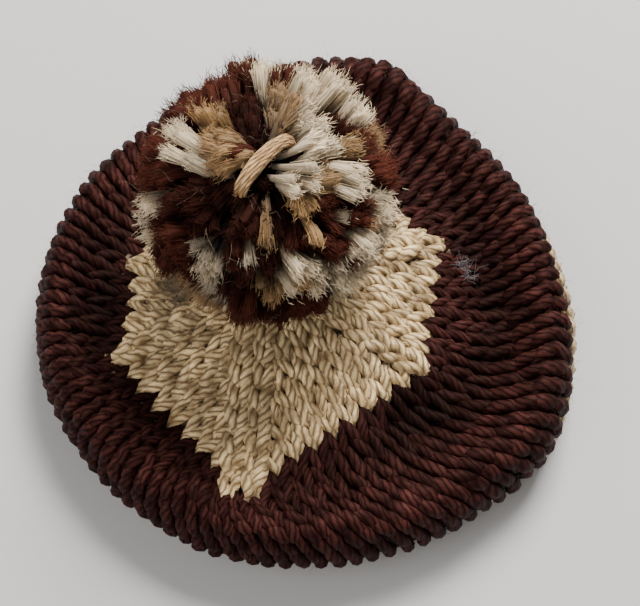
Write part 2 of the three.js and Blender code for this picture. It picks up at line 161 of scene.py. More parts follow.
@dataclass(frozen=True)
class HatForm:
    """The hat's plain form, the same sizes and formulas as its solids have.

    The section runs from the disc's middle over the crown to the rim, and on along the
    underside to the band. A point's radius is the rim's reach times one table plus another.
    """

    middle_x: float
    middle_y: float
    rim_radius: float = 55 * MM
    cloth: float = 3.4 * MM
    gap: float = 0.3 * MM
    loft: float = 7.5 * MM
    peak: float = 3.6 * MM
    peak_spread: float = 21 * MM
    band_radius: float = 33 * MM
    band_height: float = 6 * MM
    rib: float = 0.7 * MM
    colour_below: float = 2.6 * MM
    turned_up: float = 11.5 * MM
    rolled_at: float = math.radians(4)
    rolled_spread: float = math.radians(30)
    star_middle: tuple[float, float] = (-0.16, 0.05)
    rim_row: int = len(CROWN) - 1
    fine: int = 24  # steps between two rows of the section
    step: float = 0.3 * MM  # the short step that slopes are taken over
    shade_spread: float = 1.4  # how much wider than a dent its shade is
    shade_depth: float = 2.5
    darkest: float = 0.12

    @property
    def band_inner(self) -> float:
        """Returns the radius of the band's inner face."""
        return self.band_radius - self.cloth

    @property
    def seat_height(self) -> float:
        """Returns the height at which the underside lies on the band."""
        return self.band_height + self.rib / 2 + self.gap

    @property
    def star_xy(self) -> Array:
        """Returns the star's middle in plan, counted from the disc's middle."""
        return np.array(self.star_middle) * self.rim_radius

    @cached_property
    def reach_rows(self) -> Array:
        """Returns each row's share of the rim's reach."""
        return np.array([row[0] for row in CROWN] + [1 - row[0] for row in UNDERSIDE])

    @cached_property
    def inset_rows(self) -> Array:
        """Returns the part of each row's radius that doesn't follow the rim."""
        inset = [row[0] * self.band_inner for row in UNDERSIDE]
        return np.array([0.0] * len(CROWN) + inset)

    @cached_property
    def height_rows(self) -> Array:
        """Returns each row's height."""
        layers = self.seat_height + 2 * self.cloth
        crown = [row[1] * layers + row[2] * self.loft for row in CROWN]
        under = [row[1] * self.seat_height + row[2] * crown[-1] for row in UNDERSIDE]
        return np.array(crown + under)

    @cached_property
    def fine_rows(self) -> Array:
        """Returns a fine count along the section's rows."""
        last = len(self.reach_rows) - 1
        return np.arange(last * self.fine + 1) / self.fine

    @cached_property
    def plain_radius(self) -> Array:
        """Returns the radius at each fine row of a round hat."""
        reach = through(self.reach_rows, self.fine_rows) * self.rim_radius
        return reach + through(self.inset_rows, self.fine_rows)

    @cached_property
    def lengths(self) -> Array:
        """Returns the length along a round hat's section at each fine row."""
        height = through(self.height_rows, self.fine_rows)
        steps = np.hypot(np.diff(self.plain_radius), np.diff(height))
        return np.concatenate([[0.0], np.cumsum(steps)])

    @property
    def rim_length(self) -> float:
        """Returns the length along the section at the rim's widest line."""
        return float(self.lengths[self.rim_row * self.fine])

    @property
    def whole_length(self) -> float:
        """Returns the length of the whole section."""
        return float(self.lengths[-1])

    def rim_reach(self, angle: Array) -> Array:
        """How far the rim reaches.

        A cubic between the outline's rows, its slopes taken from the rows on both sides.

        Args:
            angle: Angles from +X towards +Y, radians.

        Returns:
            The rim's distance from the disc's middle.
        """
        at = np.array([row[0] for row in OUTLINE], float)
        reach = np.array([row[1] for row in OUTLINE])
        at = np.concatenate([at[-2:] - 360, at, at[:3] + 360])
        reach = np.concatenate([reach[-2:], reach, reach[:3]])
        degrees = np.degrees(angle) % 360
        i = np.clip(np.searchsorted(at, degrees, side="right") - 1, 1, len(at) - 3)
        span = at[i + 1] - at[i]
        f = (degrees - at[i]) / span
        slope = (reach[i + 1] - reach[i - 1]) / (at[i + 1] - at[i - 1]) * span
        next_slope = (reach[i + 2] - reach[i]) / (at[i + 2] - at[i]) * span
        share = (2 * f**3 - 3 * f**2 + 1) * reach[i] + (f**3 - 2 * f**2 + f) * slope
        share = share + (3 * f**2 - 2 * f**3) * reach[i + 1] + (f**3 - f**2) * next_slope
        return share * self.rim_radius

    def fold_shares(self, x: Array, y: Array, wider: float = 1.0) -> list[Array]:
        """How strongly each fold acts at plan places.

        It is e to the power of minus the squared distances from the fold's middle, counted
        in its own spreads.

        Args:
            x: Plan places from the disc's middle.
            y: The same, towards +Y.
            wider: How much wider the folds are taken than they are.

        Returns:
            The shares, one array for each row of FOLDS.
        """
        angle = np.arctan2(y, x)
        share = np.hypot(x, y) / self.rim_reach(angle)
        shares = []
        for at, turn, reach, width, _ in FOLDS:
            aside = between(math.radians(at), angle) / math.radians(wider * turn)
            along = (share - reach) / (wider * width)
            shares.append(np.exp(-aside**2 - along**2))
        return shares

    def relief(self, x: Array, y: Array) -> Array:
        """Returns the rise of the folds, the dents and the peak under the pompom.

        The peak is its height times e to the power of minus the squared distance from the
        star's middle, counted in its spread.
        """
        distance = np.hypot(x - self.star_xy[0], y - self.star_xy[1])
        rise = self.peak * np.exp(-((distance / self.peak_spread) ** 2))
        for fold, share in zip(FOLDS, self.fold_shares(x, y)):
            rise = rise + fold[-1] * self.loft * share
        return rise

    def daylight(self, x: Array, y: Array) -> Array:
        """Returns how much light reaches the cloth: one less each dent's own shade."""
        light = np.ones_like(x)
        for fold, share in zip(FOLDS, self.fold_shares(x, y, self.shade_spread)):
            light = light + self.shade_depth * min(fold[-1], 0.0) * share
        return np.clip(light, self.darkest, 1.0)

    def point(self, angle: Array, length: Array) -> Array:
        """Returns the outer surface's points at angles and lengths along the section."""
        row = np.interp(length, self.lengths, self.fine_rows)
        reach = through(self.reach_rows, row) * self.rim_reach(angle)
        radius = reach + through(self.inset_rows, row)
        x, y = radius * np.cos(angle), radius * np.sin(angle)
        fade = np.clip(self.rim_row - row, 0.0, 1.0)
        z = through(self.height_rows, row) + self.relief(x, y) * fade
        return np.stack([x + self.middle_x, y + self.middle_y, z], axis=-1)

    def surface(self, angle: Array, length: Array) -> tuple[Array, Array]:
        """The outer surface and its outward directions.

        The direction is the cross product of a short step along the section and one round
        the hat.

        Args:
            angle: Angles, radians.
            length: Lengths along the section.

        Returns:
            The points and the directions.
        """
        step = self.step
        turn = step / self.rim_radius
        across = self.point(angle + turn, length) - self.point(angle - turn, length)
        low = np.clip(length - step, 0.0, self.whole_length - 2 * step)
        along = self.point(angle, low + 2 * step) - self.point(angle, low)
        return self.point(angle, length), unit(np.cross(along, across))

    def crown_height(self, x: Array, y: Array) -> Array:
        """Returns the crown's height over plan places from the disc's middle."""
        share = np.hypot(x, y) / self.rim_reach(np.arctan2(y, x))
        rows = slice(0, self.rim_row * self.fine + 1)
        row = np.interp(share * self.rim_radius, self.plain_radius[rows], self.fine_rows[rows])
        return through(self.height_rows, row) + self.relief(x, y)

    def crown(self, x: Array, y: Array) -> tuple[Array, Array]:
        """Returns the crown's points over plan places, and its upward directions."""
        step = self.step
        dx = (self.crown_height(x + step, y) - self.crown_height(x - step, y)) / (2 * step)
        dy = (self.crown_height(x, y + step) - self.crown_height(x, y - step)) / (2 * step)
        z = self.crown_height(x, y)
        points = np.stack([x + self.middle_x, y + self.middle_y, z], axis=-1)
        return points, unit(np.stack([-dx, -dy, np.ones_like(dx)], axis=-1))

    def length_at(self, share: Array) -> Array:
        """Returns the length along the section where the crown has a share of its reach."""
        rows = slice(0, self.rim_row * self.fine + 1)
        return np.interp(share * self.rim_radius, self.plain_radius[rows], self.lengths[rows])

    @cached_property
    def star_corners(self) -> Array:
        """Returns the star's corners in plan, from the disc's middle."""
        at = np.radians([row[0] for row in STAR])
        reach = np.array([row[1] for row in STAR]) * self.rim_radius
        return np.stack([reach * np.cos(at), reach * np.sin(at)], axis=-1)

    def star_reach(self, angle: Array) -> Array:
        """Returns the distance to the star's straight edges, by a ray against each edge."""
        c, s = np.cos(angle), np.sin(angle)
        found = np.full(np.shape(angle), STAR[0][1] * self.rim_radius)
        corners = self.star_corners
        for a, b in zip(corners, np.roll(corners, -1, axis=0)):
            cross = (b[0] - a[0]) * s - (b[1] - a[1]) * c
            cross = np.where(np.abs(cross) < TINY, TINY, cross)
            reach = ((b[0] - a[0]) * a[1] - (b[1] - a[1]) * a[0]) / cross
            along = (c * a[1] - s * a[0]) / cross
            hit = (reach > 0) & (along >= 0) & (along <= 1)
            found = np.where(hit, reach, found)
        return found

    def star_length(self, angle: Array) -> Array:
        """Returns the length along the section at the star's edge."""
        return self.length_at(self.star_reach(angle) / self.rim_reach(angle))

    def colour_length(self, angle: Array) -> Array:
        """Returns the length at which the dark ring ends, earlier where the rim rolled."""
        aside = between(self.rolled_at, angle) / self.rolled_spread
        return self.rim_length + self.colour_below - self.turned_up * np.exp(-(aside**2))


@dataclass
class Camera:
    """The photograph's camera: it looks along +Y and down on the hat."""

    elevation: float = math.radians(64)
    distance: float = 300 * MM
    focal_pixels: float = 1473.0
    image_width: float = 640.0
    sensor_mm: float = 36.0
    aim_height: float = 8 * MM
    aim_right: float = -3.05 * MM  # where the aim shows, from the picture's middle
    aim_up: float = -2.44 * MM
    nearest: float = 10 * MM

    @property
    def axes(self) -> tuple[Array, Array, Array]:
        """Returns the view's right, up and towards-the-camera directions."""
        c, s = math.cos(self.elevation), math.sin(self.elevation)
        return np.array([1.0, 0, 0]), np.array([0, s, c]), np.array([0, -c, s])

    def build(self, form: HatForm) -> None:
        """Makes the camera, aimed at the hat's middle, and gives it to the scene."""
        right, up, back = self.axes
        aim = np.array([form.middle_x, form.middle_y, self.aim_height])
        place = aim - self.aim_right * right - self.aim_up * up + self.distance * back
        data = bpy.data.cameras.new("photo_view")
        data.sensor_width = self.sensor_mm
        data.lens = self.focal_pixels * self.sensor_mm / self.image_width
        data.clip_start = self.nearest
        camera = bpy.data.objects.new("photo_view", data)
        rows = [[right[i], up[i], back[i], place[i]] for i in range(3)]
        camera.matrix_world = Matrix(rows + [[0.0, 0.0, 0.0, 1.0]])
        bpy.context.scene.collection.objects.link(camera)
        bpy.context.scene.camera = camera


@dataclass(frozen=True)
class AreaLight:
    """A square light that faces the hat."""

    name: str
    place: Point
    side: float
    watts: float
    colour: Colour
    aim: Point = (0.0, 0.0, 0.02)

    def build(self) -> None:
        """Makes the light."""
        data = bpy.data.lights.new(self.name, "AREA")
        data.size = self.side
        data.energy = self.watts
        data.color = self.colour
        light = bpy.data.objects.new(self.name, data)
        light.location = self.place
        way = Vector(self.aim) - Vector(self.place)
        light.rotation_euler = way.to_track_quat("-Z", "Y").to_euler()
        bpy.context.scene.collection.objects.link(light)


@dataclass
class Stage:
    """A plain pale floor and soft light from the upper right."""

    colour: Colour = (0.42, 0.413, 0.412)
    roughness: float = 0.85
    half_side: float = 1.2
    below: float = 0.05 * MM
    lights: tuple[AreaLight, ...] = (
        AreaLight("key", (0.17, 0.38, 0.58), 0.3, 14.5, (1.0, 0.985, 0.955)),
        AreaLight("fill", (-0.45, -0.35, 0.55), 0.7, 4.6, (1.0, 0.99, 0.97)),
    )
    sky: Colour = (1.0, 0.985, 0.97)
    sky_strength: float = 0.42

    def build(self) -> None:
        """Makes the floor, the lights and the pale surroundings."""
        side, z = self.half_side, -self.below
        corners = [(-side, -side, z), (side, -side, z), (side, side, z), (-side, side, z)]
        mesh = bpy.data.meshes.new("floor")
        mesh.from_pydata(corners, [], [(0, 1, 2, 3)])
        floor = bpy.data.objects.new("floor", mesh)
        bpy.context.scene.collection.objects.link(floor)
        floor.data.materials.append(self.floor_material())
        for light in self.lights:
            light.build()
        world = bpy.data.worlds.new("studio")
        world.use_nodes = True
        background = world.node_tree.nodes["Background"]
        background.inputs["Color"].default_value = rgba(self.sky)
        background.inputs["Strength"].default_value = self.sky_strength
        bpy.context.scene.world = world

    def floor_material(self) -> bpy.types.Material:
        """Returns a matt pale material."""
        material = bpy.data.materials.new("pale_floor")
        material.use_nodes = True
        shader = material.node_tree.nodes["Principled BSDF"]
        shader.inputs["Base Color"].default_value = rgba(self.colour)
        shader.inputs["Roughness"].default_value = self.roughness
        return material


class Graph:
    """A short way to write a material's nodes."""

    def __init__(self, name: str) -> None:
        """Makes a material with a bare shader.

        Args:
            name: The material's name.
        """
        self.material = bpy.data.materials.new(name)
        self.material.use_nodes = True
        self.tree = self.material.node_tree
        self.shader = self.tree.nodes["Principled BSDF"]

    def node(self, kind: str, **values: object) -> bpy.types.Node:
        """Returns a new node with its own settings."""
        made = self.tree.nodes.new(kind)
        for key, value in values.items():
            setattr(made, key, value)
        return made

    def feed(self, socket: bpy.types.NodeSocket, value: object) -> None:
        """Links a socket's output or sets a plain value."""
        if isinstance(value, bpy.types.NodeSocket):
            self.tree.links.new(value, socket)
        else:
            socket.default_value = value

    def maths(self, operation: str, *values: object) -> bpy.types.NodeSocket:
        """Returns the result of one sum on up to three values."""
        made = self.node("ShaderNodeMath", operation=operation)
        for socket, value in zip(made.inputs, values):
            self.feed(socket, value)
        return made.outputs[0]

    def times(self, value: object, factor: object,
              plus: object = 0.0) -> bpy.types.NodeSocket:
        """Returns a value times another, plus a third."""
        return self.maths("MULTIPLY_ADD", value, factor, plus)

    def vector(self, *values: object) -> bpy.types.NodeSocket:
        """Returns a place or a grey colour from its three values."""
        made = self.node("ShaderNodeCombineXYZ")
        for socket, value in zip(made.inputs, values):
            self.feed(socket, value)
        return made.outputs[0]

    def blend(self, share: object, low: object, high: object,
              kind: str = "MIX") -> bpy.types.NodeSocket:
        """Returns a colour between two colours, or their product.

        Args:
            share: How much of the second colour counts.
            low: The first colour.
            high: The second colour.
            kind: MIX or MULTIPLY.

        Returns:
            The resulting colour's socket.
        """
        made = self.node("ShaderNodeMix", data_type="RGBA", blend_type=kind)
        for number, value in ((0, share), (6, low), (7, high)):  # its colour sockets
            self.feed(made.inputs[number], value)
        return made.outputs[2]

    def noise(self, vector: object, scale: float, detail: float) -> bpy.types.NodeSocket:
        """Returns a noise value at a place."""
        made = self.node("ShaderNodeTexNoise")
        self.feed(made.inputs["Vector"], vector)
        made.inputs["Scale"].default_value = scale
        made.inputs["Detail"].default_value = detail
        return made.outputs[0]

    def value(self, name: str) -> bpy.types.NodeSocket:
        """Returns the mesh's own value of that name."""
        return self.node("ShaderNodeAttribute", attribute_name=name).outputs["Fac"]

    def object_place(self) -> bpy.types.NodeSocket:
        """Returns the place on the piece."""
        return self.node("ShaderNodeTexCoord").outputs["Object"]

    def yarn_place(self) -> tuple[bpy.types.NodeSocket, bpy.types.NodeSocket]:
        """Returns the places along and round a yarn, from its own UV map."""
        split = self.node("ShaderNodeSeparateXYZ")
        self.feed(split.inputs[0], self.node("ShaderNodeUVMap", uv_map=UV_NAME).outputs[0])
        return split.outputs[0], split.outputs[1]

    def streaks(self, values: tuple[object, ...], counts: Point,
                scale: float) -> bpy.types.NodeSocket:
        """Returns a noise that runs in streaks along a yarn.

        Args:
            values: The places across and along the yarn, and its tone, so that no two
                yarns have the same streaks.
            counts: How often the streaks change along each of them.
            scale: The noise's scale.

        Returns:
            The noise's socket.
        """
        place = self.vector(*(self.times(*pair) for pair in zip(values, counts)))
        return self.noise(place, scale, 4.0)

    def finish(self, colour: object, level: object, height: object, relief: float, *,
               roughness: float, sheen: float, gloss: float) -> bpy.types.Material:
        """Gives the shader its colour, its relief and its plain values.

        Args:
            colour: Its colour.
            level: A brightness that the colour is multiplied by.
            height: The relief's height, a share.
            relief: The relief's height in metres.
            roughness: How rough it is.
            sheen: How strong its soft sheen is.
            gloss: How strong its highlights are.

        Returns:
            The finished material.
        """
        toned = self.blend(1.0, colour, self.vector(level, level, level), "MULTIPLY")
        self.feed(self.shader.inputs["Base Color"], toned)
        self.shader.inputs["Roughness"].default_value = roughness
        self.shader.inputs["Sheen Weight"].default_value = sheen
        self.shader.inputs["Specular IOR Level"].default_value = gloss
        bump = self.node("ShaderNodeBump")
        bump.inputs["Distance"].default_value = relief
        bump.inputs["Strength"].default_value = 1.0
        self.feed(bump.inputs["Height"], height)
        self.feed(self.shader.inputs["Normal"], bump.outputs[0])
        return self.material


@dataclass(frozen=True)
class YarnFinish:
    """Plied knitting yarn: twisted plies, fine fibres and a soft sheen.

    The plies' height is the absolute sine of half a turn for each ply, counted round the
    yarn plus a share of the way along it, so they run as screws. The crests take a painted
    highlight where ply, fibres and a slow noise of glints all stand high, and the grooves
    and deep places a painted shade.
    """

    name: str
    colour: Colour
    shade: Colour  # painted shade in the grooves and deep between stitches
    light: Colour  # painted highlight on the crests of the plies
    roughness: float = 0.6
    sheen: float = 0.08
    gloss: float = 0.2
    plies: float = 4.0
    twist: float = 0.9
    relief: float = 0.2 * MM
    groove: float = 0.55  # how bright the grooves stay, a share of the crests
    gleam: Colour = (1.0, 0.93, 0.8)  # the tint of its gloss
    sheen_roughness: float = 0.45
    roundness: float = 0.8  # the power that the plies' height is raised to
    drift: float = 0.9  # how far the plies stray from an even screw
    drift_scale: float = 420.0
    patch_scale: float = 90.0  # slow changes of its brightness
    glint_scale: float = 300.0  # where its crests take a painted highlight
    streaks: Point = (5.0, 0.7, 37.0)  # its fibres, across, along and by tone
    streak_scale: float = 1.6
    streak_relief: float = 0.8  # the fibres' height, a share of the plies' height

    def material(self) -> bpy.types.Material:
        """Returns the finish as a material that reads the yarn's own UV map."""
        graph = Graph(self.name)
        along, around = graph.yarn_place()
        place = graph.object_place()
        tone, depth = graph.value(TONE), graph.value(DEPTH)
        turned = graph.times(graph.noise(place, self.drift_scale, 2.0), self.drift,
                             graph.times(along, self.twist))
        phase = graph.times(around, self.plies, turned)
        wave = graph.maths("SINE", graph.times(phase, math.pi))
        ridge = graph.maths("POWER", graph.maths("ABSOLUTE", wave), self.roundness)
        fibres = graph.streaks((phase, along, tone), self.streaks, self.streak_scale)
        glints = graph.times(graph.noise(place, self.glint_scale, 1.0), 3.0, -0.7)
        crest = graph.times(graph.maths("POWER", graph.times(ridge, fibres), 1.6), glints)
        crest = graph.times(graph.maths("MAXIMUM", crest, 0.0), 2.0)
        # The grooves and the deep places get painted shade, the crests a painted highlight
        base = graph.blend(graph.times(ridge, 1 - self.groove, self.groove),
                           rgba(self.shade), rgba(self.colour))
        lit = graph.blend(graph.maths("MINIMUM", crest, 1.0), base, rgba(self.light))
        sunk = graph.blend(depth, rgba(self.shade), lit)
        patches = graph.times(graph.noise(place, self.patch_scale, 2.0), 0.5, 0.75)
        graph.shader.inputs["Sheen Roughness"].default_value = self.sheen_roughness
        graph.shader.inputs["Specular Tint"].default_value = rgba(self.gleam)
        return graph.finish(
            sunk, graph.times(patches, tone), graph.times(fibres, self.streak_relief, ridge),
            self.relief, roughness=self.roughness, sheen=self.sheen, gloss=self.gloss)


@dataclass(frozen=True)
class FibreFinish:
    """Loose fibres: a colour that takes a painted shade where they lie deep, towards the root,
    with a soft sheen.
    """

    name: str
    colour: Colour
    shade: Colour
    roughness: float = 0.7
    sheen: float = 0.08
    gloss: float = 0.15
    relief: float = 0.2 * MM
    patch_scale: float = 160.0  # slow changes of its brightness
    streaks: Point = (30.0, 0.8, 53.0)  # its fibres, across, along and by tone
    streak_scale: float = 1.4

    def material(self) -> bpy.types.Material:
        """Returns the finish as a material that reads each fibre's tone and depth."""
        graph = Graph(self.name)
        along, around = graph.yarn_place()
        tone, depth = graph.value(TONE), graph.value(DEPTH)
        fibres = graph.streaks((around, along, tone), self.streaks, self.streak_scale)
        patches = graph.noise(graph.object_place(), self.patch_scale, 3.0)
        # Painted shade: deep fibres take the shade colour
        lit = graph.blend(depth, rgba(self.shade), rgba(self.colour))
        level = graph.times(graph.times(patches, 0.5, 0.75), tone)
        level = graph.times(graph.times(fibres, 0.8, 0.6), level)
        return graph.finish(lit, level, fibres, self.relief, roughness=self.roughness,
                            sheen=self.sheen, gloss=self.gloss)


BEIGE_YARN = YarnFinish(
    "beige_yarn", (0.167, 0.099, 0.0375), (0.036, 0.016, 0.005), (0.85, 0.625, 0.335),
    roughness=0.48, gloss=0.36, twist=1.1, relief=0.16 * MM, groove=0.66)
BROWN_YARN = YarnFinish(
    "brown_yarn", (0.0066, 0.00165, 0.0016), (0.0024, 0.0008, 0.0008),
    (0.052, 0.0157, 0.013), sheen=0.0, gloss=0.09, plies=5.0, twist=1.15,
    relief=0.1 * MM, groove=0.78, gleam=(1.0, 0.55, 0.46))
TAN_YARN = YarnFinish(
    "tan_yarn", (0.235, 0.128, 0.053), (0.05, 0.02, 0.007), (0.62, 0.4, 0.2), twist=0.8)
BROWN_FIBRES = FibreFinish(
    "brown_fibres", (0.068, 0.0175, 0.0105), (0.002, 0.0008, 0.0008), sheen=0.0, gloss=0.05)
TAN_FIBRES = FibreFinish(
    "tan_fibres", (0.27, 0.15, 0.055), (0.014, 0.006, 0.002), roughness=0.5, gloss=0.3)
CREAM_FIBRES = FibreFinish(
    "cream_fibres", (0.62, 0.49, 0.32), (0.03, 0.016, 0.007), roughness=0.5, gloss=0.35)
BEIGE_FUZZ = FibreFinish("beige_fuzz", (0.36, 0.27, 0.17), (0.36, 0.27, 0.17))
BROWN_FUZZ = FibreFinish(
    "brown_fuzz", (0.03, 0.01, 0.0075), (0.03, 0.01, 0.0075), sheen=0.0, gloss=0.05)
WHITE_LINT = FibreFinish("white_lint", (0.4, 0.38, 0.4), (0.4, 0.38, 0.4))


class MeshParts:
    """Gathers arrays of points and faces and makes one mesh of them."""

    def __init__(self) -> None:
        """Starts with nothing."""
        self.count = 0
        self.points: list[Array] = []
        self.corners: list[Array] = []
        self.sizes: list[Array] = []
        self.uvs: list[Array] = []
        self.tones: list[Array] = []
        self.depths: list[Array] = []

    def add_points(self, points: Array, tone: Array | float,
                   depth: Array | float) -> int:
        """Adds points with their values.

        Args:
            points: The points, one row each.
            tone: A brightness for each point.
            depth: How open each point lies, from 0, deep, to 1, on top.

        Returns:
            The number of the first of them.
        """
        first = self.count
        self.points.append(points)
        self.tones.append(np.broadcast_to(tone, len(points)))
        self.depths.append(np.broadcast_to(depth, len(points)))
        self.count += len(points)
        return first

    def add_faces(self, faces: Array, uvs: Array | None = None) -> None:
        """Adds faces of one size, with a UV place for each of their corners."""
        self.corners.append(faces.ravel())
        self.sizes.append(np.full(len(faces), faces.shape[1]))
        self.uvs.append(np.zeros((faces.size, 2)) if uvs is None else uvs.reshape(-1, 2))

    def build(self, name: str, material: bpy.types.Material, slot: str,
              replaces: tuple[str, ...] = ()) -> None:
        """Makes the piece.

        Args:
            name: The piece's name.
            material: Its finish.
            slot: The slot that its finish belongs to; it is not used.
            replaces: The solids that it stands for.
        """
        corners = np.concatenate(self.corners).astype(np.int32)
        sizes = np.concatenate(self.sizes)
        mesh = bpy.data.meshes.new(name)
        mesh.vertices.add(self.count)
        mesh.vertices.foreach_set("co", np.concatenate(self.points).astype(np.float32).ravel())
        mesh.loops.add(len(corners))
        mesh.polygons.add(len(sizes))
        starts = np.concatenate([[0], np.cumsum(sizes)[:-1]]).astype(np.int32)
        mesh.polygons.foreach_set("loop_start", starts)
        mesh.polygons.foreach_set("vertices", corners)
        mesh.update(calc_edges=True)
        mesh.shade_smooth()
        layer = mesh.uv_layers.new(name=UV_NAME)
        layer.data.foreach_set("uv", np.concatenate(self.uvs).astype(np.float32).ravel())
        for key, values in ((TONE, self.tones), (DEPTH, self.depths)):
            attribute = mesh.attributes.new(key, "FLOAT", "POINT")
            attribute.data.foreach_set("value", np.concatenate(values).astype(np.float32))
        piece = bpy.data.objects.new(name, mesh)
        bpy.context.scene.collection.objects.link(piece)
        mesh.materials.append(material)
        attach(piece, BODY)
        if replaces:
            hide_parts(*replaces)
        log.info("%s: %d triangles", name, int(np.sum(sizes - 2)))


def add_tubes(parts: MeshParts, line: Array, up: Array, half_width: Array,
              half_height: Array, sides: int, tone: Array, depth: Array,
              pitch: float) -> None:
    """Adds many open tubes of oval section with closed ends.

    A section's point is the line's point plus cos of its turn times the half width to the
    side and sin of its turn times the half height upwards. Side is the line's direction
    crossed with up.

    Args:
        parts: Where the tubes go.
        line: The tubes' middle lines, tubes by points by 3.
        up: A rough upward direction at each point.
        half_width: Half the tubes' width at each point.
        half_height: Half their height at each point.
        sides: How many points go round a tube.
        tone: A brightness for each tube's point.
        depth: How open each tube's point lies.
        pitch: The length along a tube that counts as one along its UV map.
    """
    count, steps, _ = line.shape
    ahead = unit(np.gradient(line, axis=1))
    side = unit(np.cross(ahead, up))
    top = np.cross(side, ahead)
    turn = TURN * np.arange(sides) / sides + TURN / 4
    points = line[:, :, None] + (
        side[:, :, None] * (half_width[..., None] * np.cos(turn))[..., None]
        + top[:, :, None] * (half_height[..., None] * np.sin(turn))[..., None])
    shape = (count, steps, sides)
    first = parts.add_points(
        points.reshape(-1, 3),
        np.broadcast_to(tone[..., None], shape).ravel(),
        np.broadcast_to(depth[..., None], shape).ravel())
    index = first + np.arange(count * steps * sides).reshape(shape)
    after = np.roll(index, -1, axis=2)
    faces = np.stack([index[:, :-1], index[:, 1:], after[:, 1:], after[:, :-1]], axis=-1)
    way = np.linalg.norm(np.diff(line, axis=1), axis=-1)
    way = np.concatenate([np.zeros((count, 1)), np.cumsum(way, axis=1)], axis=1) / pitch
    along = np.broadcast_to(way[..., None], shape)
    near, far = along[:, :-1], along[:, 1:]
    here = np.broadcast_to(np.arange(sides) / sides, near.shape)
    there = here + 1 / sides
    uvs = np.stack([
        np.stack([near, here], -1), np.stack([far, here], -1),
        np.stack([far, there], -1), np.stack([near, there], -1)], axis=-2)
    parts.add_faces(faces.reshape(-1, 4), uvs.reshape(-1, 2))
    parts.add_faces(index[:, 0])
    parts.add_faces(index[:, -1, ::-1])


def add_spines(parts: MeshParts, line: Array, thick: Array, tone: Array,
               depth: Array) -> None:
    """Adds many thin three-sided spines: rings along each line and a pointed end.

    A ring's point is the line's point plus cos of its turn times the thickness to one side
    and sin of its turn times the thickness to the other.

    Args:
        parts: Where the spines go.
        line: The spines' points, spines by any number by 3, the last the tip.
        thick: The spine's radius at each ring.
        tone: A brightness for each spine.
        depth: How open each of its points lies.
    """
    count, rings = len(line), line.shape[1] - 1
    ahead = unit(np.gradient(line, axis=1))[:, :rings]
    aside = unit(np.cross(ahead, np.array([0.31, 0.52, 0.79])))
    other = np.cross(ahead, aside)
    corner = TURN * np.arange(3)[:, None] / 3
    around = line[:, :rings, None] + thick[..., None, None] * (
        aside[:, :, None] * np.cos(corner) + other[:, :, None] * np.sin(corner))
    points = np.concatenate([around.reshape(count, 3 * rings, 3), line[:, rings:]], axis=1)
    deep = np.concatenate([np.repeat(depth[:, :rings], 3, axis=1), depth[:, rings:]], axis=1)
    size = 3 * rings + 1
    first = parts.add_points(points.reshape(-1, 3), np.repeat(tone, size), deep.ravel())
    base = first + size * np.arange(count)[:, None, None]
    walls = [(3 * r + k, 3 * r + (k + 1) % 3, 3 * r + 3 + (k + 1) % 3, 3 * r + 3 + k)
             for r in range(rings - 1) for k in range(3)]
    parts.add_faces((base + np.array(walls)[None]).reshape(-1, 4))
    low, tip = size - 4, size - 1
    tips = [(low, low + 1, tip), (low + 1, low + 2, tip), (low + 2, low, tip), (2, 1, 0)]
    parts.add_faces((base + np.array(tips)[None]).reshape(-1, 3))


def add_sheet(parts: MeshParts, outer: Array, inner: Array, tone: float) -> None:
    """Adds a closed band of cloth between two grids of points.

    The grids have the same rows, each of which closes on itself. The walls at the first
    and last rows join them.

    Args:
        parts: Where the sheet goes.
        outer: The grid of its outer side, rows by columns by 3.
        inner: The grid of its inner side.
        tone: Its brightness.
    """
    ring = np.concatenate([outer, inner[::-1]])
    rows, columns, _ = ring.shape
    # Every point counts as deep, so the whole sheet takes its finish's shade colour: painted
    # shade
    first = parts.add_points(ring.reshape(-1, 3), tone, 0.0)
    index = first + np.arange(rows * columns).reshape(rows, columns)
    below = np.roll(index, -1, axis=0)
    faces = np.stack([
        index, below, np.roll(below, -1, axis=1), np.roll(index, -1, axis=1)], axis=-1)
    parts.add_faces(faces.reshape(-1, 4))


def add_backing(parts: MeshParts, points: Array, out: Array, tone: float = 0.8,
                depth: float = BACKING_DEPTH) -> None:
    """Adds a thin sheet inside the stitches, which keeps light from passing.

    It takes the yarn's shade colour: painted shade in the gaps between the stitches.

    Args:
        parts: Where the sheet goes.
        points: The surface's points, rows by columns by 3.
        out: The outward directions there.
        tone: The sheet's brightness.
        depth: How deep under the surface it lies.
    """
    inner = points - out * (depth + BACKING_THICKNESS)
    add_sheet(parts, points - out * depth, inner, tone)


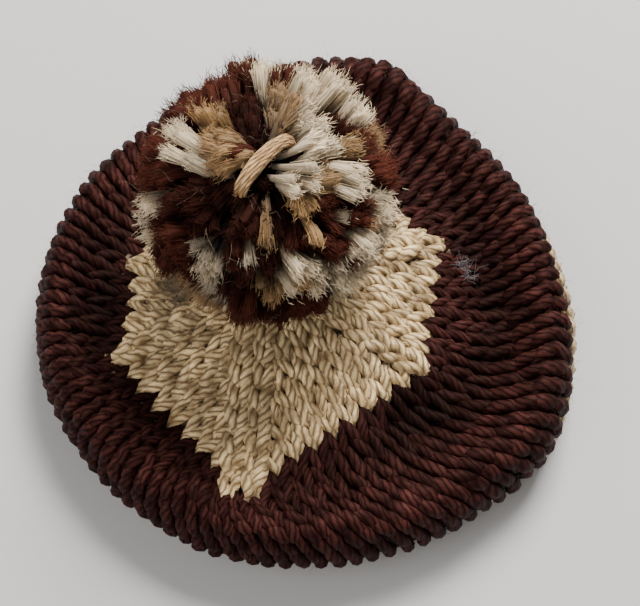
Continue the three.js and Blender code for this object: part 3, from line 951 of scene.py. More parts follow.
@dataclass(frozen=True)
class Loop:
    """One loop of stockinette as a line.

    With t from minus to plus half a turn, it lies t/2pi + lean sin(2t)/2pi wales to the
    side, overlap cos(t) rows along, and its depth goes with cos(2t): the two legs lie in
    front, the head and the feet behind. Every stitch differs a little from the next.
    """

    lean: float = 1.75  # where a wale is narrow
    lean_wide: float = 0.72  # where it is wide
    narrow: float = 4 * MM
    wide: float = 6.6 * MM
    overlap: float = 0.9
    front: float = -1.3 * MM
    back: float = -2.7 * MM
    half_width: float = 0.25
    slim: float = 0.86  # how much of that is left where the wale is wide
    half_height: float = 1.35 * MM
    thinnest: float = 0.84
    flat: float = 0.85  # how much of its height is left at its head and feet
    tallest: float = 1.1  # its half height is at most this times its half width
    least_open: float = 0.12  # how open its head and feet lie
    opening: float = 1.1  # how much more open its legs lie
    uneven_lean: float = 0.14
    uneven: Point = (0.03, 0.06, 0.07)  # to the side, along and in width
    uneven_slant: float = 0.12
    uneven_lift: float = 0.1 * MM
    uneven_tone: float = 0.09
    above_floor: float = 0.05 * MM
    points: int = 12
    sides: int = 6

    def knit(self, parts: MeshParts, place: Place, across: Array, along: Array,
             wale: Array, row: Array, width: Array, chance: np.random.Generator,
             bright: Array | float = 1.0) -> None:
        """Knits a batch of stitches onto a surface.

        Args:
            parts: Where the stitches go.
            place: Gives the surface's points and outward directions for places across
                and along it.
            across: Each stitch's middle across the wales, in place's own measure.
            along: Each stitch's middle along the wales, in place's own measure.
            wale: A wale's width in the measure of across.
            row: A row's length in the measure of along, with the sign of the way in which
                the cloth was knitted.
            width: A wale's width in metres.
            chance: Where the small unevenness comes from.
            bright: A brightness for each stitch.
        """
        count = len(across)
        t = np.linspace(-math.pi, math.pi, self.points)[None]
        share = smooth((width - self.narrow) / (self.wide - self.narrow))[:, None]
        lean = self.lean + (self.lean_wide - self.lean) * share
        lean = lean * (1 + self.uneven_lean * chance.standard_normal((count, 1)))
        uneven = chance.standard_normal((count, 3, 1)) * np.array(self.uneven)[:, None]
        side = t / TURN + lean * np.sin(2 * t) / TURN + uneven[:, 0]
        slant = self.uneven_slant * chance.standard_normal((count, 1)) * np.sin(t)
        ahead = self.overlap * np.cos(t) + uneven[:, 1] + slant
        mean, swing = (self.front + self.back) / 2, (self.front - self.back) / 2
        lift = mean - swing * np.cos(2 * t)
        lift = lift + self.uneven_lift * chance.standard_normal((count, 1))
        surface, out = place(across[:, None] + side * wale[:, None],
                             along[:, None] + ahead * row[:, None])
        line = surface + out * lift[..., None]
        line[..., 2] = np.maximum(line[..., 2], self.half_height + self.above_floor)
        full = (1 - np.cos(2 * t)) / 2
        swell = self.thinnest + (1 - self.thinnest) * full
        slim = 1 - (1 - self.slim) * share
        half_width = self.half_width * width[:, None] * (1 + uneven[:, 2]) * swell * slim
        half_height = np.minimum(self.half_height, half_width * self.tallest)
        half_height = half_height * (self.flat + (1 - self.flat) * full)
        # Painted shade: the head and the feet, which lie behind, take more of the yarn's shade
        # colour than the legs
        depth = smooth(self.least_open + self.opening * full)
        tone = bright * (1 + self.uneven_tone * chance.standard_normal(count))
        add_tubes(parts, line, out, half_width, half_height, self.sides,
                  np.broadcast_to(tone[:, None], line.shape[:2]),
                  np.broadcast_to(depth, line.shape[:2]), YARN_PITCH)


@dataclass
class Wales:
    """The hat's 49 columns of stitches.

    At the star's edge they lie evenly along its straight sides, and at the rim evenly
    round the hat. Between them each angle is blended with a soft step.
    """

    form: HatForm
    count: int = 49

    @cached_property
    def at_star(self) -> Array:
        """Returns the angles of the wales' middles at the star's edge."""
        corners = self.form.star_corners
        places = []
        for a, b, row in zip(corners, np.roll(corners, -1, axis=0), STAR):
            share = np.arange(row[2])[:, None] / row[2]
            places.append(a + (b - a) * share)
        xy = np.concatenate(places)
        return np.unwrap(np.arctan2(xy[:, 1], xy[:, 0]))

    @cached_property
    def at_rim(self) -> Array:
        """Returns the angles of the wales' middles at the rim."""
        even = TURN * np.arange(self.count) / self.count
        shift = np.mean(self.at_star - even) / (TURN / self.count)
        return even + round(shift) * TURN / self.count

    @staticmethod
    def bounds(middles: Array) -> tuple[Array, Array]:
        """Returns each wale's own middle between its borders, and its width."""
        before = np.concatenate([[middles[-1] - TURN], middles[:-1]])
        low = (before + middles) / 2
        high = np.concatenate([low[1:], [low[0] + TURN]])
        return (low + high) / 2, high - low

    def angle(self, number: Array, share: Array) -> Array:
        """Returns the angle of a place across the wales at a share of the way out.

        Args:
            number: The place across, counted in wales, a whole number at a wale's middle.
            share: 0 at the star's edge and 1 at the dark ring's end.

        Returns:
            The angles, radians.
        """
        whole = np.clip(np.round(number).astype(int), -1, self.count)
        inner, inner_width = self.bounds(self.at_star)
        outer, outer_width = self.bounds(self.at_rim)
        wrap = TURN * np.floor(whole / self.count)
        k = whole % self.count
        f = number - whole
        near = inner[k] + wrap + f * inner_width[k]
        far = outer[k] + wrap + f * outer_width[k]
        return near + (far - near) * smooth(share)

    def stitches(self, place: Place, rows: int) -> tuple[Array, Array, Array]:
        """Returns each stitch's wale, row and the wale's width there in metres."""
        number, row = np.meshgrid(np.arange(self.count), np.arange(rows) + 0.5)
        number, row = number.ravel().astype(float), row.ravel()
        left, _ = place(number - HALF_WALE, row)
        right, _ = place(number + HALF_WALE, row)
        return number, row, np.linalg.norm(right - left, axis=-1) / (2 * HALF_WALE)

    def grid(self, rows: Array) -> list[Array]:
        """Returns every half wale at the given rows, as two grids."""
        return np.meshgrid(np.arange(0, self.count, 0.5), rows)


@dataclass
class Ring:
    """The dark ring, knitted from the rim in to the star."""

    form: HatForm
    wales: Wales
    rows: int = 8
    loop: Loop = field(default_factory=lambda: Loop(sides=8))
    seed: int = 11

    def place(self, number: Array, row: Array) -> tuple[Array, Array]:
        """Returns the surface at a wale and a row, counted outwards from the star."""
        share = np.clip(row / self.rows, -0.2, 1.2)
        angle = self.wales.angle(number, share)
        start, end = self.form.star_length(angle), self.form.colour_length(angle)
        return self.form.surface(angle, start + (end - start) * share)

    def build(self) -> None:
        """Makes the ring's knit as one piece."""
        chance = np.random.default_rng(self.seed)
        parts = MeshParts()
        number, row, width = self.wales.stitches(self.place, self.rows)
        one = np.ones_like(number)
        spot, _ = self.place(number, row)
        light = self.form.daylight(spot[:, 0] - self.form.middle_x,
                                   spot[:, 1] - self.form.middle_y)
        bright = chance.uniform(0.85, 1.15, len(number)) * light
        self.loop.knit(parts, self.place, number, row, one, -one, width, chance, bright)
        grid = self.wales.grid(np.linspace(-0.1, self.rows + 0.05, 21))
        add_backing(parts, *self.place(*grid))
        parts.build("crown_ring_knit", BROWN_YARN.material(), "dark_yarn", ("crown_ring",))


@dataclass
class Underside:
    """The light cloth from the dark ring's end to the band, knitted towards the rim."""

    form: HatForm
    wales: Wales
    rows: int = 9
    sunk: float = 1.2 * MM
    sunk_rows: float = 2.2
    seam: float = 0.5 * MM  # how far from the band's inner face it ends
    loop: Loop = field(default_factory=Loop)
    seed: int = 12

    def place(self, number: Array, row: Array) -> tuple[Array, Array]:
        """Returns the surface at a wale and a row, counted from the dark ring's end.

        The first rows lie deeper where the rim hasn't rolled: sunk times one less e to
        the power of minus the squared angle to the rolled place, counted in its spread.
        """
        angle = self.wales.angle(number, np.ones_like(number))
        start = self.form.colour_length(angle)
        end = self.form.whole_length - self.seam
        points, out = self.form.surface(angle, start + (end - start) * row / self.rows)
        aside = between(self.form.rolled_at, angle) / self.form.rolled_spread
        sunk = self.sunk * (1 - np.exp(-(aside**2))) * smooth(1 - row / self.sunk_rows)
        return points - out * sunk[..., None], out

    def build(self) -> None:
        """Makes the underside's knit as one piece."""
        chance = np.random.default_rng(self.seed)
        parts = MeshParts()
        number, row, width = self.wales.stitches(self.place, self.rows)
        one = np.ones_like(number)
        self.loop.knit(parts, self.place, number, row, one, -one, width, chance)
        add_backing(parts, *self.place(*self.wales.grid(np.linspace(0, self.rows, 25))))
        parts.build("underside_knit", BEIGE_YARN.material(), "light_yarn", ("underside",))


@dataclass
class Headband:
    """The band that the head goes through: upright stitches and a cast-on edge."""

    form: HatForm
    wales: Wales
    rows: int = 2
    loop: Loop = field(default_factory=lambda: Loop(
        lean=1.2, overlap=0.75, front=-1.15 * MM, back=-2.4 * MM, half_width=0.3,
        half_height=1.1 * MM))
    edge: float = 1.2 * MM  # how much of the band's height the cast-on edge takes
    first_row: float = 2.3 * MM
    backing: tuple[float, float] = (5.6 * MM, 0.8 * MM)  # its top and its foot
    backing_depth: float = 1.6 * MM
    wrap_radius: float = 0.85 * MM
    wrap_length: float = 0.95  # in wales
    seed: int = 13

    def place(self, number: Array, height: Array) -> tuple[Array, Array]:
        """Returns the band's outer face at a wale and a height."""
        angle = number * TURN / self.wales.count + self.wales.at_rim[0]
        out = np.stack([np.cos(angle), np.sin(angle), np.zeros_like(angle)], axis=-1)
        points = out * self.form.band_radius
        points[..., 0] += self.form.middle_x
        points[..., 1] += self.form.middle_y
        points[..., 2] = height
        return points, out

    def build(self) -> None:
        """Makes the band's knit as one piece."""
        chance = np.random.default_rng(self.seed)
        parts = MeshParts()
        pitch = (self.form.band_height - self.edge) / self.rows
        number, row = np.meshgrid(np.arange(self.wales.count), np.arange(self.rows))
        number = number.ravel().astype(float)
        height = self.first_row + row.ravel() * pitch
        one = np.ones_like(number)
        width = TURN * self.form.band_radius / self.wales.count * one
        self.loop.knit(parts, self.place, number, height, one, pitch * one, width, chance)
        points, out = self.place(*self.wales.grid(np.array(self.backing)))
        add_backing(parts, points, out, depth=self.backing_depth)
        self.add_cast_on(parts)
        parts.build("headband_knit", BEIGE_YARN.material(), "light_yarn", ("headband",))

    def add_cast_on(self, parts: MeshParts) -> None:
        """Adds the cast-on edge: one short slanting wrap of yarn for each half wale."""
        number = np.arange(0, self.wales.count, 0.5)
        t = np.linspace(-0.5, 0.5, 7)[None]
        wave = np.sin(math.pi * t)
        points, out = self.place(number[:, None] + self.wrap_length * t,
                                 self.wrap_radius * (1.05 + 0.25 * wave))
        line = points + out * ((-1.75 + 0.75 * wave) * MM)[..., None]
        line[..., 2] = np.maximum(line[..., 2], self.wrap_radius)
        up = np.broadcast_to(np.array([0, 0, 1.0]), line.shape)
        shape = line.shape[:2]
        radius = np.full(shape, self.wrap_radius)
        # Painted shade: the wraps take a fifth of the yarn's shade colour
        add_tubes(parts, line, up, radius * 1.15, radius * 0.8, self.loop.sides,
                  np.full(shape, 0.95), np.full(shape, 0.8), YARN_PITCH)


@dataclass
class Star:
    """The light star: seven fields of stitches with a wale or two along each corner.

    In each field the wales stand square to the star's straight edge and the rows run
    along it. A corner's wales run from the corner to the star's middle and lie a little
    proud of the fields.
    """

    form: HatForm
    row: float = 4.25 * MM
    corner_width: float = 4.5 * MM
    loop: Loop = field(default_factory=lambda: Loop(
        lean=1.75, overlap=0.85, half_width=0.305, half_height=1.5 * MM, thinnest=0.8))
    corner_lift: float = 0.6 * MM
    corner_apart: float = 0.92  # the space between two corner wales, in their widths
    corner_row: float = 0.97  # their rows' length, in rows
    first_row: float = 0.47  # how far inside the edge the first stitches lie, in rows
    first_corner_row: float = 0.45
    clear: float = 0.36  # how far the fields stay from a corner wale, in its widths
    open_middle: float = 2 * MM
    seed: int = 14

    def field_stitches(self, a: Array, b: Array, wales: int) -> tuple[Array, Array, Array]:
        """The stitches of one field.

        A stitch is kept where it lies inside the triangle of the edge and the star's
        middle, clear of the corner wales by part of a wale.

        Args:
            a: The corner at the field's start.
            b: The corner at its end.
            wales: How many wales the edge has.

        Returns:
            Each stitch's middle in plan, the direction across its wale and its width.
        """
        middle = self.form.star_xy
        span = np.linalg.norm(b - a)
        across = (b - a) / span
        inward = np.array([-across[1], across[0]])
        width = span / wales
        rows = int(np.dot(middle - a, inward) / self.row) + 1
        k, j = np.meshgrid(np.arange(1, wales), np.arange(rows))
        p, q = k.ravel() * width, (j.ravel() + self.first_row) * self.row
        xy = a + p[:, None] * across + q[:, None] * inward
        keep = np.ones(len(xy), bool)
        for corner, sign in ((a, 1.0), (b, -1.0)):
            way = (middle - corner) / np.linalg.norm(middle - corner)
            off = xy - corner
            clear = sign * (way[1] * off[:, 0] - way[0] * off[:, 1])
            keep &= clear > self.clear * self.corner_width
        xy = xy[keep]
        return xy, np.broadcast_to(across, xy.shape), np.full(len(xy), width)

    def corner_stitches(self, corner: Array, wales: int) -> tuple[Array, Array, Array]:
        """Returns the stitches of a corner's one or two wales, as field_stitches does."""
        middle = self.form.star_xy
        way = middle - corner
        span = np.linalg.norm(way)
        way = way / span
        across = np.array([way[1], -way[0]])
        rows = np.arange(self.first_corner_row * self.row, span - self.open_middle,
                         self.row * self.corner_row)
        q, step = np.meshgrid(rows, np.arange(wales) - (wales - 1) / 2)
        side = step.ravel() * self.corner_width * self.corner_apart
        xy = corner + q.ravel()[:, None] * way + side[:, None] * across
        width = np.full(len(xy), self.corner_width)
        return xy, np.broadcast_to(across, xy.shape), width

    def knit(self, parts: MeshParts, xy: Array, across: Array, width: Array, lift: float,
             chance: np.random.Generator) -> None:
        """Knits stitches at plan places.

        Args:
            parts: Where the stitches go.
            xy: The stitches' middles in plan, from the disc's middle.
            across: The directions across their wales.
            width: Their wales' widths.
            lift: How far they lie above the cloth.
            chance: Where the small unevenness comes from.
        """
        ahead = np.stack([-across[:, 1], across[:, 0]], axis=-1)

        def place(side: Array, along: Array) -> tuple[Array, Array]:
            """Returns the crown at steps across and along each stitch's own wale."""
            x = xy[:, :1] + side * across[:, :1] + along * ahead[:, :1]
            y = xy[:, 1:] + side * across[:, 1:] + along * ahead[:, 1:]
            points, out = self.form.crown(x, y)
            return points + out * lift, out

        zero = np.zeros(len(xy))
        row = np.full(len(xy), self.row)
        bright = chance.uniform(0.92, 1.08, len(xy))
        self.loop.knit(parts, place, zero, zero, width, row, width, chance, bright)

    def build(self) -> None:
        """Makes the star's knit as one piece."""
        chance = np.random.default_rng(self.seed)
        parts = MeshParts()
        corners = self.form.star_corners
        for a, b, row in zip(corners, np.roll(corners, -1, axis=0), STAR):
            self.knit(parts, *self.field_stitches(a, b, row[2]), 0.0, chance)
            self.knit(parts, *self.corner_stitches(a, row[3]), self.corner_lift, chance)
        columns = 98
        share, angle = np.meshgrid(np.linspace(0.985, 0.02, 14),
                                   TURN * np.arange(columns) / columns, indexing="ij")
        reach = self.form.star_reach(angle)
        middle = self.form.star_xy
        x = middle[0] + (reach * np.cos(angle) - middle[0]) * share
        y = middle[1] + (reach * np.sin(angle) - middle[1]) * share
        add_backing(parts, *self.form.crown(x, y), tone=0.85)
        parts.build("crown_star_knit", BEIGE_YARN.material(), "light_yarn", ("crown_star",))


class LockColour(Enum):
    """The colours of the pompom's yarns; a clump that is a hole is left out."""

    BROWN = "brown"
    TAN = "tan"
    CREAM = "cream"
    HOLE = "hole"


@dataclass(frozen=True)
class Tuft:
    """A clump of cut yarns on the side of the pompom that the photo's camera sees."""

    right: float  # where its ends show, from the pompom's middle, in its radii
    up: float
    colour: LockColour
    reach: float = 1.0  # how far out its ends lie, in radii
    wider: float = 0.0  # how much wider than others, as a cosine
    # painted light and shade: below one for tufts that lie in shade, above one for lit ones
    tone: float = 1.0


BROWN, TAN, CREAM, HOLE = LockColour.BROWN, LockColour.TAN, LockColour.CREAM, LockColour.HOLE
# A tuft's tone, where given, paints its light and shade: low where it lies in shade, above one
# where it is lit
TUFTS = (
    Tuft(-0.35, 0.62, TAN, 0.99, 0.018, 1.1), Tuft(-0.42, 0.44, TAN, 0.98, 0.018, 1.05),
    Tuft(-0.63, 0.44, CREAM, 1.0, 0.01, 0.9), Tuft(-0.6, 0.26, CREAM, 0.98, 0.0, 0.8),
    Tuft(-0.34, 0.2, TAN, 0.96, 0.012, 0.95), Tuft(-0.62, 0.71, BROWN),
    Tuft(-0.37, 0.9, BROWN, 1.07, 0.004), Tuft(-0.17, 0.72, BROWN, 0.86, 0.028, 0.45),
    Tuft(-0.16, 0.48, BROWN, 0.82, 0.028, 0.4), Tuft(-0.15, 0.97, BROWN, 1.08, 0.0, 0.9),
    Tuft(0.0, 0.98, CREAM, 1.07, -0.002, 0.9), Tuft(0.13, 0.95, BROWN, 1.05, 0.0, 0.9),
    Tuft(0.0, 0.75, TAN, 0.97, 0.0, 0.8), Tuft(0.13, 0.77, TAN, 0.96, 0.0, 0.85),
    Tuft(0.3, 0.92, CREAM, 1.02), Tuft(0.26, 0.68, TAN, 0.92, 0.0, 0.75),
    Tuft(0.54, 0.8, CREAM, 1.03), Tuft(0.7, 0.68, CREAM, 1.02),
    Tuft(0.44, 0.6, CREAM, 1.0, 0.01), Tuft(0.25, 0.27, BROWN, 0.74, 0.0, 0.2),
    Tuft(0.64, 0.54, BROWN, 0.94, 0.004, 0.7), Tuft(0.84, 0.45, BROWN, 1.0, 0.01, 1.1),
    Tuft(0.9, 0.27, BROWN, 1.0, 0.01), Tuft(0.5, 0.39, CREAM, 0.98, 0.0, 0.9),
    Tuft(0.71, 0.37, TAN, 0.99), Tuft(0.55, 0.25, TAN, 0.96),
    Tuft(0.5, 0.11, TAN, 0.95, 0.0, 0.85), Tuft(0.71, 0.04, CREAM),
    Tuft(0.9, 0.06, CREAM, 1.0, -0.01), Tuft(0.55, -0.08, BROWN, 0.93, 0.0, 0.7),
    Tuft(0.78, -0.18, BROWN, 1.0, 0.012), Tuft(0.95, -0.1, CREAM, 1.0, -0.002),
    Tuft(0.3, 0.04, CREAM, 0.99, 0.008), Tuft(0.25, -0.17, TAN, 0.98, 0.008),
    Tuft(0.35, -0.3, TAN, 0.99), Tuft(0.07, -0.06, BROWN, 0.82, 0.004, 0.3),
    Tuft(-0.04, -0.18, BROWN, 0.91, 0.012, 0.3), Tuft(0.13, -0.35, BROWN, 0.92, 0.0, 0.3),
    Tuft(-0.46, 0.05, BROWN, 0.93, 0.0, 0.5), Tuft(-0.6, -0.07, BROWN, 0.95, 0.01, 0.6),
    Tuft(-0.32, -0.14, BROWN, 0.87, 0.012, 0.3), Tuft(-0.84, 0.33, BROWN, 1.0, 0.0, 1.05),
    Tuft(-0.88, 0.14, BROWN, 1.0, 0.0, 0.8), Tuft(-0.75, 0.5, CREAM, 1.01, -0.006),
    Tuft(-0.9, -0.08, CREAM, 1.0, -0.002), Tuft(-0.95, -0.34, CREAM, 1.01, -0.002),
    Tuft(-0.93, -0.21, BROWN, 1.0, 0.0, 1.1), Tuft(0.12, 0.4, HOLE), Tuft(-0.03, 0.22, HOLE),
    Tuft(-0.17, 0.07, HOLE), Tuft(-0.68, 0.2, TAN, 0.96, -0.01, 0.7),
    Tuft(-0.8, -0.22, BROWN, 0.98, 0.0, 0.6), Tuft(-0.72, -0.36, BROWN, 1.0, 0.0, 0.9),
    Tuft(-0.5, -0.28, BROWN, 0.86, 0.01, 0.35), Tuft(-0.44, -0.46, TAN, 0.87, -0.01, 0.75),
    Tuft(-0.84, -0.5, BROWN, 1.0, 0.0, 0.7), Tuft(-0.66, -0.64, BROWN, 0.98, 0.0, 0.8),
    Tuft(-0.62, -0.4, CREAM, 0.9, -0.012, 0.5),
    Tuft(-0.2, -0.5, BROWN, 0.97, 0.015, 0.4), Tuft(-0.18, -0.3, BROWN, 0.93, 0.01, 0.3),
    Tuft(-0.2, -0.88, BROWN, 1.02, 0.0, 0.7), Tuft(-0.27, -0.7, BROWN, 1.0, 0.01, 0.5),
    Tuft(0.02, -0.42, TAN, 0.96, 0.0, 0.75), Tuft(0.26, -0.43, BROWN, 0.95, 0.0, 0.6),
    Tuft(0.04, -0.58, BROWN, 0.93, 0.0, 0.3), Tuft(0.03, -0.74, TAN, 0.99, -0.005, 0.85),
    Tuft(0.3, -0.62, CREAM, 1.0, 0.01), Tuft(0.44, -0.7, CREAM, 1.0, 0.004),
    Tuft(0.58, -0.45, BROWN, 0.98, 0.01, 0.9), Tuft(0.77, -0.42, CREAM, 1.0),
    Tuft(0.66, -0.62, CREAM, 1.0, 0.0, 0.9), Tuft(0.35, -0.88, BROWN, 1.0, 0.0, 0.9),
    Tuft(0.04, -0.94, BROWN, 0.96, 0.0, 0.3), Tuft(-0.42, -0.6, CREAM, 0.95, 0.01, 0.55),
    Tuft(-0.45, -0.8, CREAM, 0.88, 0.012, 0.45),
)


@dataclass(frozen=True)
class YarnEnds:
    """Where the pompom's yarns end and how they look, a row for each yarn."""

    way: Array  # the end's direction from the pompom's middle
    reach: Array  # how far out it lies, in radii
    swirl: Array  # how far the yarn is bent aside, in radii
    colour: Array  # the number of its colour in LockColour
    tone: Array  # its brightness: its tuft's painted light and shade, or a random one


@dataclass
class Pompom:
    """The pompom: cut yarns of many fibres that spread from the tie on its top.

    A yarn runs from a root near the tie, or near the pompom's middle for yarns at the
    back, to its end on the pompom's sphere, on a line bulged outwards: (1-s)^2 root +
    2s(1-s) bulge + s^2 end. Its fibres lie side by side round it, turned slowly along it,
    and spread at the cut end.
    """

    form: HatForm
    view: Camera
    radius: float = 24.5 * MM
    lean: tuple[float, float] = (0.08, 0.17)
    seat: float = 0.82
    squat: float = 0.15
    yarns: int = 840
    fibres: int = 21
    end_fibres: int = 30
    yarn_radius: float = 1.28 * MM
    fibre_radius: float = 0.078 * MM
    curl: float = 0.2 * MM  # how unevenly the fibres spread at the cut end
    stray: float = 0.045  # the share of yarns that strayed in from another colour
    clump: float = 0.3  # how much a tuft draws its yarns together
    trim: float = 0.975
    scatter: float = 0.035  # how unevenly the ends are spread
    spare_clumps: int = 70  # random ones, for the side that the photo doesn't show
    spare_near: float = 0.95  # one is left out where a tuft lies within this cosine
    spare_mix: Point = (0.52, 0.2, 0.28)  # shares of brown, tan and cream
    uneven_clump: float = 0.035  # of the reach
    uneven_yarn: float = 0.022
    bent: float = 0.1
    contrast: float = 0.8  # the power that a tuft's brightness, its painted light and shade, is raised to
    core: float = 0.86  # the radius of a yarn's body, a share of the yarn's
    # painted shade: the yarns' bodies are darker than their fibres
    core_tone: float = 0.72
    on_skin: float = 0.6  # the share of fibres that lie on the yarn's skin
    brush: float = 0.64  # the end fibres' spread and thickness, as shares
    heart: float = 0.6
    tie_up: Point = (0.0, -0.24, 0.9)
    tie_reach: float = 0.6  # where the yarns at the tie start, in radii from the middle
    root_reach: float = 0.12  # and how far each starts towards its own end
    root_scatter: float = 0.03
    bulge: float = 0.07
    dark_inside: float = 0.69  # painted shade: up to this share of the radius it is darkest
    dark_fade: float = 0.28
    above_crown: float = 0.15 * MM
    seed: int = 15

    @cached_property
    def middle(self) -> Array:
        """Returns the pompom's middle, seated on the crown as its solid is."""
        xy = self.form.star_xy
        height = self.form.crown_height(xy[:1], xy[1:])[0] + self.seat * self.radius
        return np.array([
            self.form.middle_x + xy[0] + self.lean[0] * self.radius,
            self.form.middle_y + xy[1] + self.lean[1] * self.radius, height])

    def tuft_directions(self) -> Array:
        """Returns the tufts' directions from the pompom's middle."""
        right, up, back = self.view.axes
        disc = np.array([[tuft.right, tuft.up] for tuft in TUFTS])
        inside = np.maximum(1 - np.sum(disc**2, axis=1), 0.0)
        return unit(disc[:, :1] * right + disc[:, 1:] * up + np.sqrt(inside)[:, None] * back)

    def ends(self, chance: np.random.Generator) -> YarnEnds:
        """Returns where the yarns end.

        Directions are spread evenly by the golden angle. One that faces the camera joins
        the nearest tuft and leans to it. The others join clumps at random.
        """
        i = np.arange(self.yarns) + 0.5
        z = 1 - 2 * i / self.yarns
        flat = np.sqrt(1 - z**2)
        golden = math.pi * (3 - math.sqrt(5)) * i
        way = np.stack([flat * np.cos(golden), flat * np.sin(golden), z], axis=-1)
        way = unit(way + self.scatter * chance.standard_normal(way.shape))
        tufts = self.tuft_directions()
        spare = unit(chance.standard_normal((self.spare_clumps, 3)))
        spare = spare[np.max(spare @ tufts.T, axis=1) < self.spare_near]
        colours = list(LockColour)
        known = np.array([colours.index(tuft.colour) for tuft in TUFTS])
        mixed = len(self.spare_mix)
        guessed = chance.choice(mixed, len(spare), p=self.spare_mix)
        colour = np.concatenate([known, guessed])
        reaches = np.concatenate([[tuft.reach for tuft in TUFTS], np.ones(len(spare))])
        centres = np.concatenate([tufts, spare])
        wider = np.concatenate([[tuft.wider for tuft in TUFTS], np.zeros(len(spare))])
        nearest = np.argmax(way @ centres.T + wider, axis=1)
        way = unit(way + self.clump * centres[nearest])
        tall = 1 + self.uneven_clump * chance.standard_normal(len(centres))
        reach = self.trim * reaches[nearest] * tall[nearest]
        reach = reach * (1 + self.uneven_yarn * chance.standard_normal(len(way)))
        reach *= 1 - self.squat * np.maximum(0.0, -way[:, 2])
        swirl = self.bent * chance.standard_normal((len(centres), 3))
        colour = np.where(chance.random(len(way)) < self.stray,
                          chance.choice(mixed, len(way)), colour[nearest])
        bright = chance.uniform(0.55, 1.05, len(spare))
        tone = np.concatenate([[tuft.tone for tuft in TUFTS], bright])
        return YarnEnds(way, reach, swirl[nearest], colour, tone[nearest] ** self.contrast)

    def lines(self, ends: YarnEnds, chance: np.random.Generator) -> Array:
        """Returns points of the yarns' middle lines at root, bulge and end."""
        tie = unit(np.array(self.tie_up))
        facing = smooth((ends.way @ tie - 0.05) / 0.95)[:, None]
        pull = self.tie_reach * tie * facing
        root = pull + self.root_reach * ends.way
        root = root + self.root_scatter * chance.standard_normal(root.shape)
        end = ends.way * ends.reach[:, None]
        bulge = (root + end) / 2 + self.bulge * unit(ends.way + pull) + ends.swirl
        return self.middle + self.radius * np.stack([root, bulge, end], axis=1)

    def along(self, line: Array, s: Array) -> tuple[Array, Array, Array, Array]:
        """Places along the yarns.

        Args:
            line: The yarns' root, bulge and end points.
            s: Shares of the way along, yarns by any number.

        Returns:
            The points and the directions ahead, aside and across.
        """
        s = s[..., None]
        fill = (slice(None),) + (None,) * (s.ndim - 2)
        root, bulge, end = (line[:, k][fill] for k in range(3))
        middle = (1 - s) ** 2 * root + 2 * s * (1 - s) * bulge + s**2 * end
        ahead = unit(2 * (1 - s) * (bulge - root) + 2 * s * (end - bulge))
        aside = unit(np.cross(ahead, np.array([0.52, 0.79, 0.31])))
        return middle, ahead, aside, np.cross(ahead, aside)

    def swell(self, s: Array) -> Array:
        """Returns the share of the yarn's radius along it: it opens towards its end.

        From 0.45 it grows by 0.5 over nine tenths of the way, and by 0.2 at the cut end.
        """
        return 0.45 + 0.5 * smooth(s / 0.9) + 0.2 * smooth((s - 0.84) / 0.16)

    def add_cores(self, parts: MeshParts, line: Array, tone: Array) -> None:
        """Adds every yarn's body: a tube that opens towards a domed end.

        Args:
            parts: Where the yarns go.
            line: The yarns' root, bulge and end points.
            tone: A brightness for each yarn.
        """
        s = np.array([0.12, 0.32, 0.52, 0.7, 0.84, 0.91, 0.945, 0.965])
        dome = np.array([1, 1, 1, 1, 1, 0.9, 0.66, 0.3])
        share = np.broadcast_to(s, (len(line), len(s)))
        middle, _, _, up = self.along(line, share)
        half = self.yarn_radius * self.core * self.swell(share) * dome
        self.keep_above(middle)
        add_tubes(parts, middle, up, half, half, 6,
                  np.broadcast_to(tone[:, None], share.shape), self.depth(middle), 4 * MM)

    def add_fibres(self, parts: MeshParts, line: Array, bright: Array,
                   chance: np.random.Generator) -> None:
        """Adds every yarn's body, the fibres on and in it and the brush of its cut end.

        A fibre lies at a turn and a share of the yarn's radius. The share holds along it
        and the turn grows slowly, so the fibres run side by side and open with the yarn.
        Those on the skin show along most of it, those inside only at its cut end.

        Args:
            parts: Where the fibres go.
            line: The yarns' root, bulge and end points.
            bright: How bright each yarn is.
            chance: Where their places come from.
        """
        yarn_tone = bright * chance.uniform(0.75, 1.25, len(line))
        self.add_cores(parts, line, self.core_tone * yarn_tone)
        shape = (len(line), self.fibres)
        skin = chance.random(shape) < self.on_skin
        away = np.where(skin, 0.88 + 0.22 * chance.random(shape),
                        np.sqrt(chance.random(shape)))
        start = np.where(skin, 0.35 + 0.4 * chance.random(shape), 0.88)
        stop = 1.01 - 0.035 * away**2 + 0.014 * chance.standard_normal(shape)
        share = np.array([0.0, 0.5, 0.95, 1.0])
        s = start[..., None] + (stop - start)[..., None] * share
        middle, _, aside, other = self.along(line, s)
        turn = TURN * chance.random(shape)[..., None] + 0.8 * s
        away = (away[..., None] * self.yarn_radius * self.swell(s))[..., None]
        turn = turn[..., None]
        curl = self.curl * chance.standard_normal((*shape, 1, 3)) * (share**2)[:, None]
        fibre = middle + curl + away * (np.cos(turn) * aside + np.sin(turn) * other)
        fibre = fibre.reshape(-1, 4, 3)
        rough = chance.uniform(0.75, 1.25, (len(fibre), 1))
        thick = self.fibre_radius * np.array([0.9, 1.0, 0.8]) * rough
        tone = yarn_tone[:, None] * (1 + 0.14 * chance.standard_normal(shape))
        self.finish_spines(parts, fibre, thick, tone.ravel())
        self.add_end_fuzz(parts, line, yarn_tone, chance)

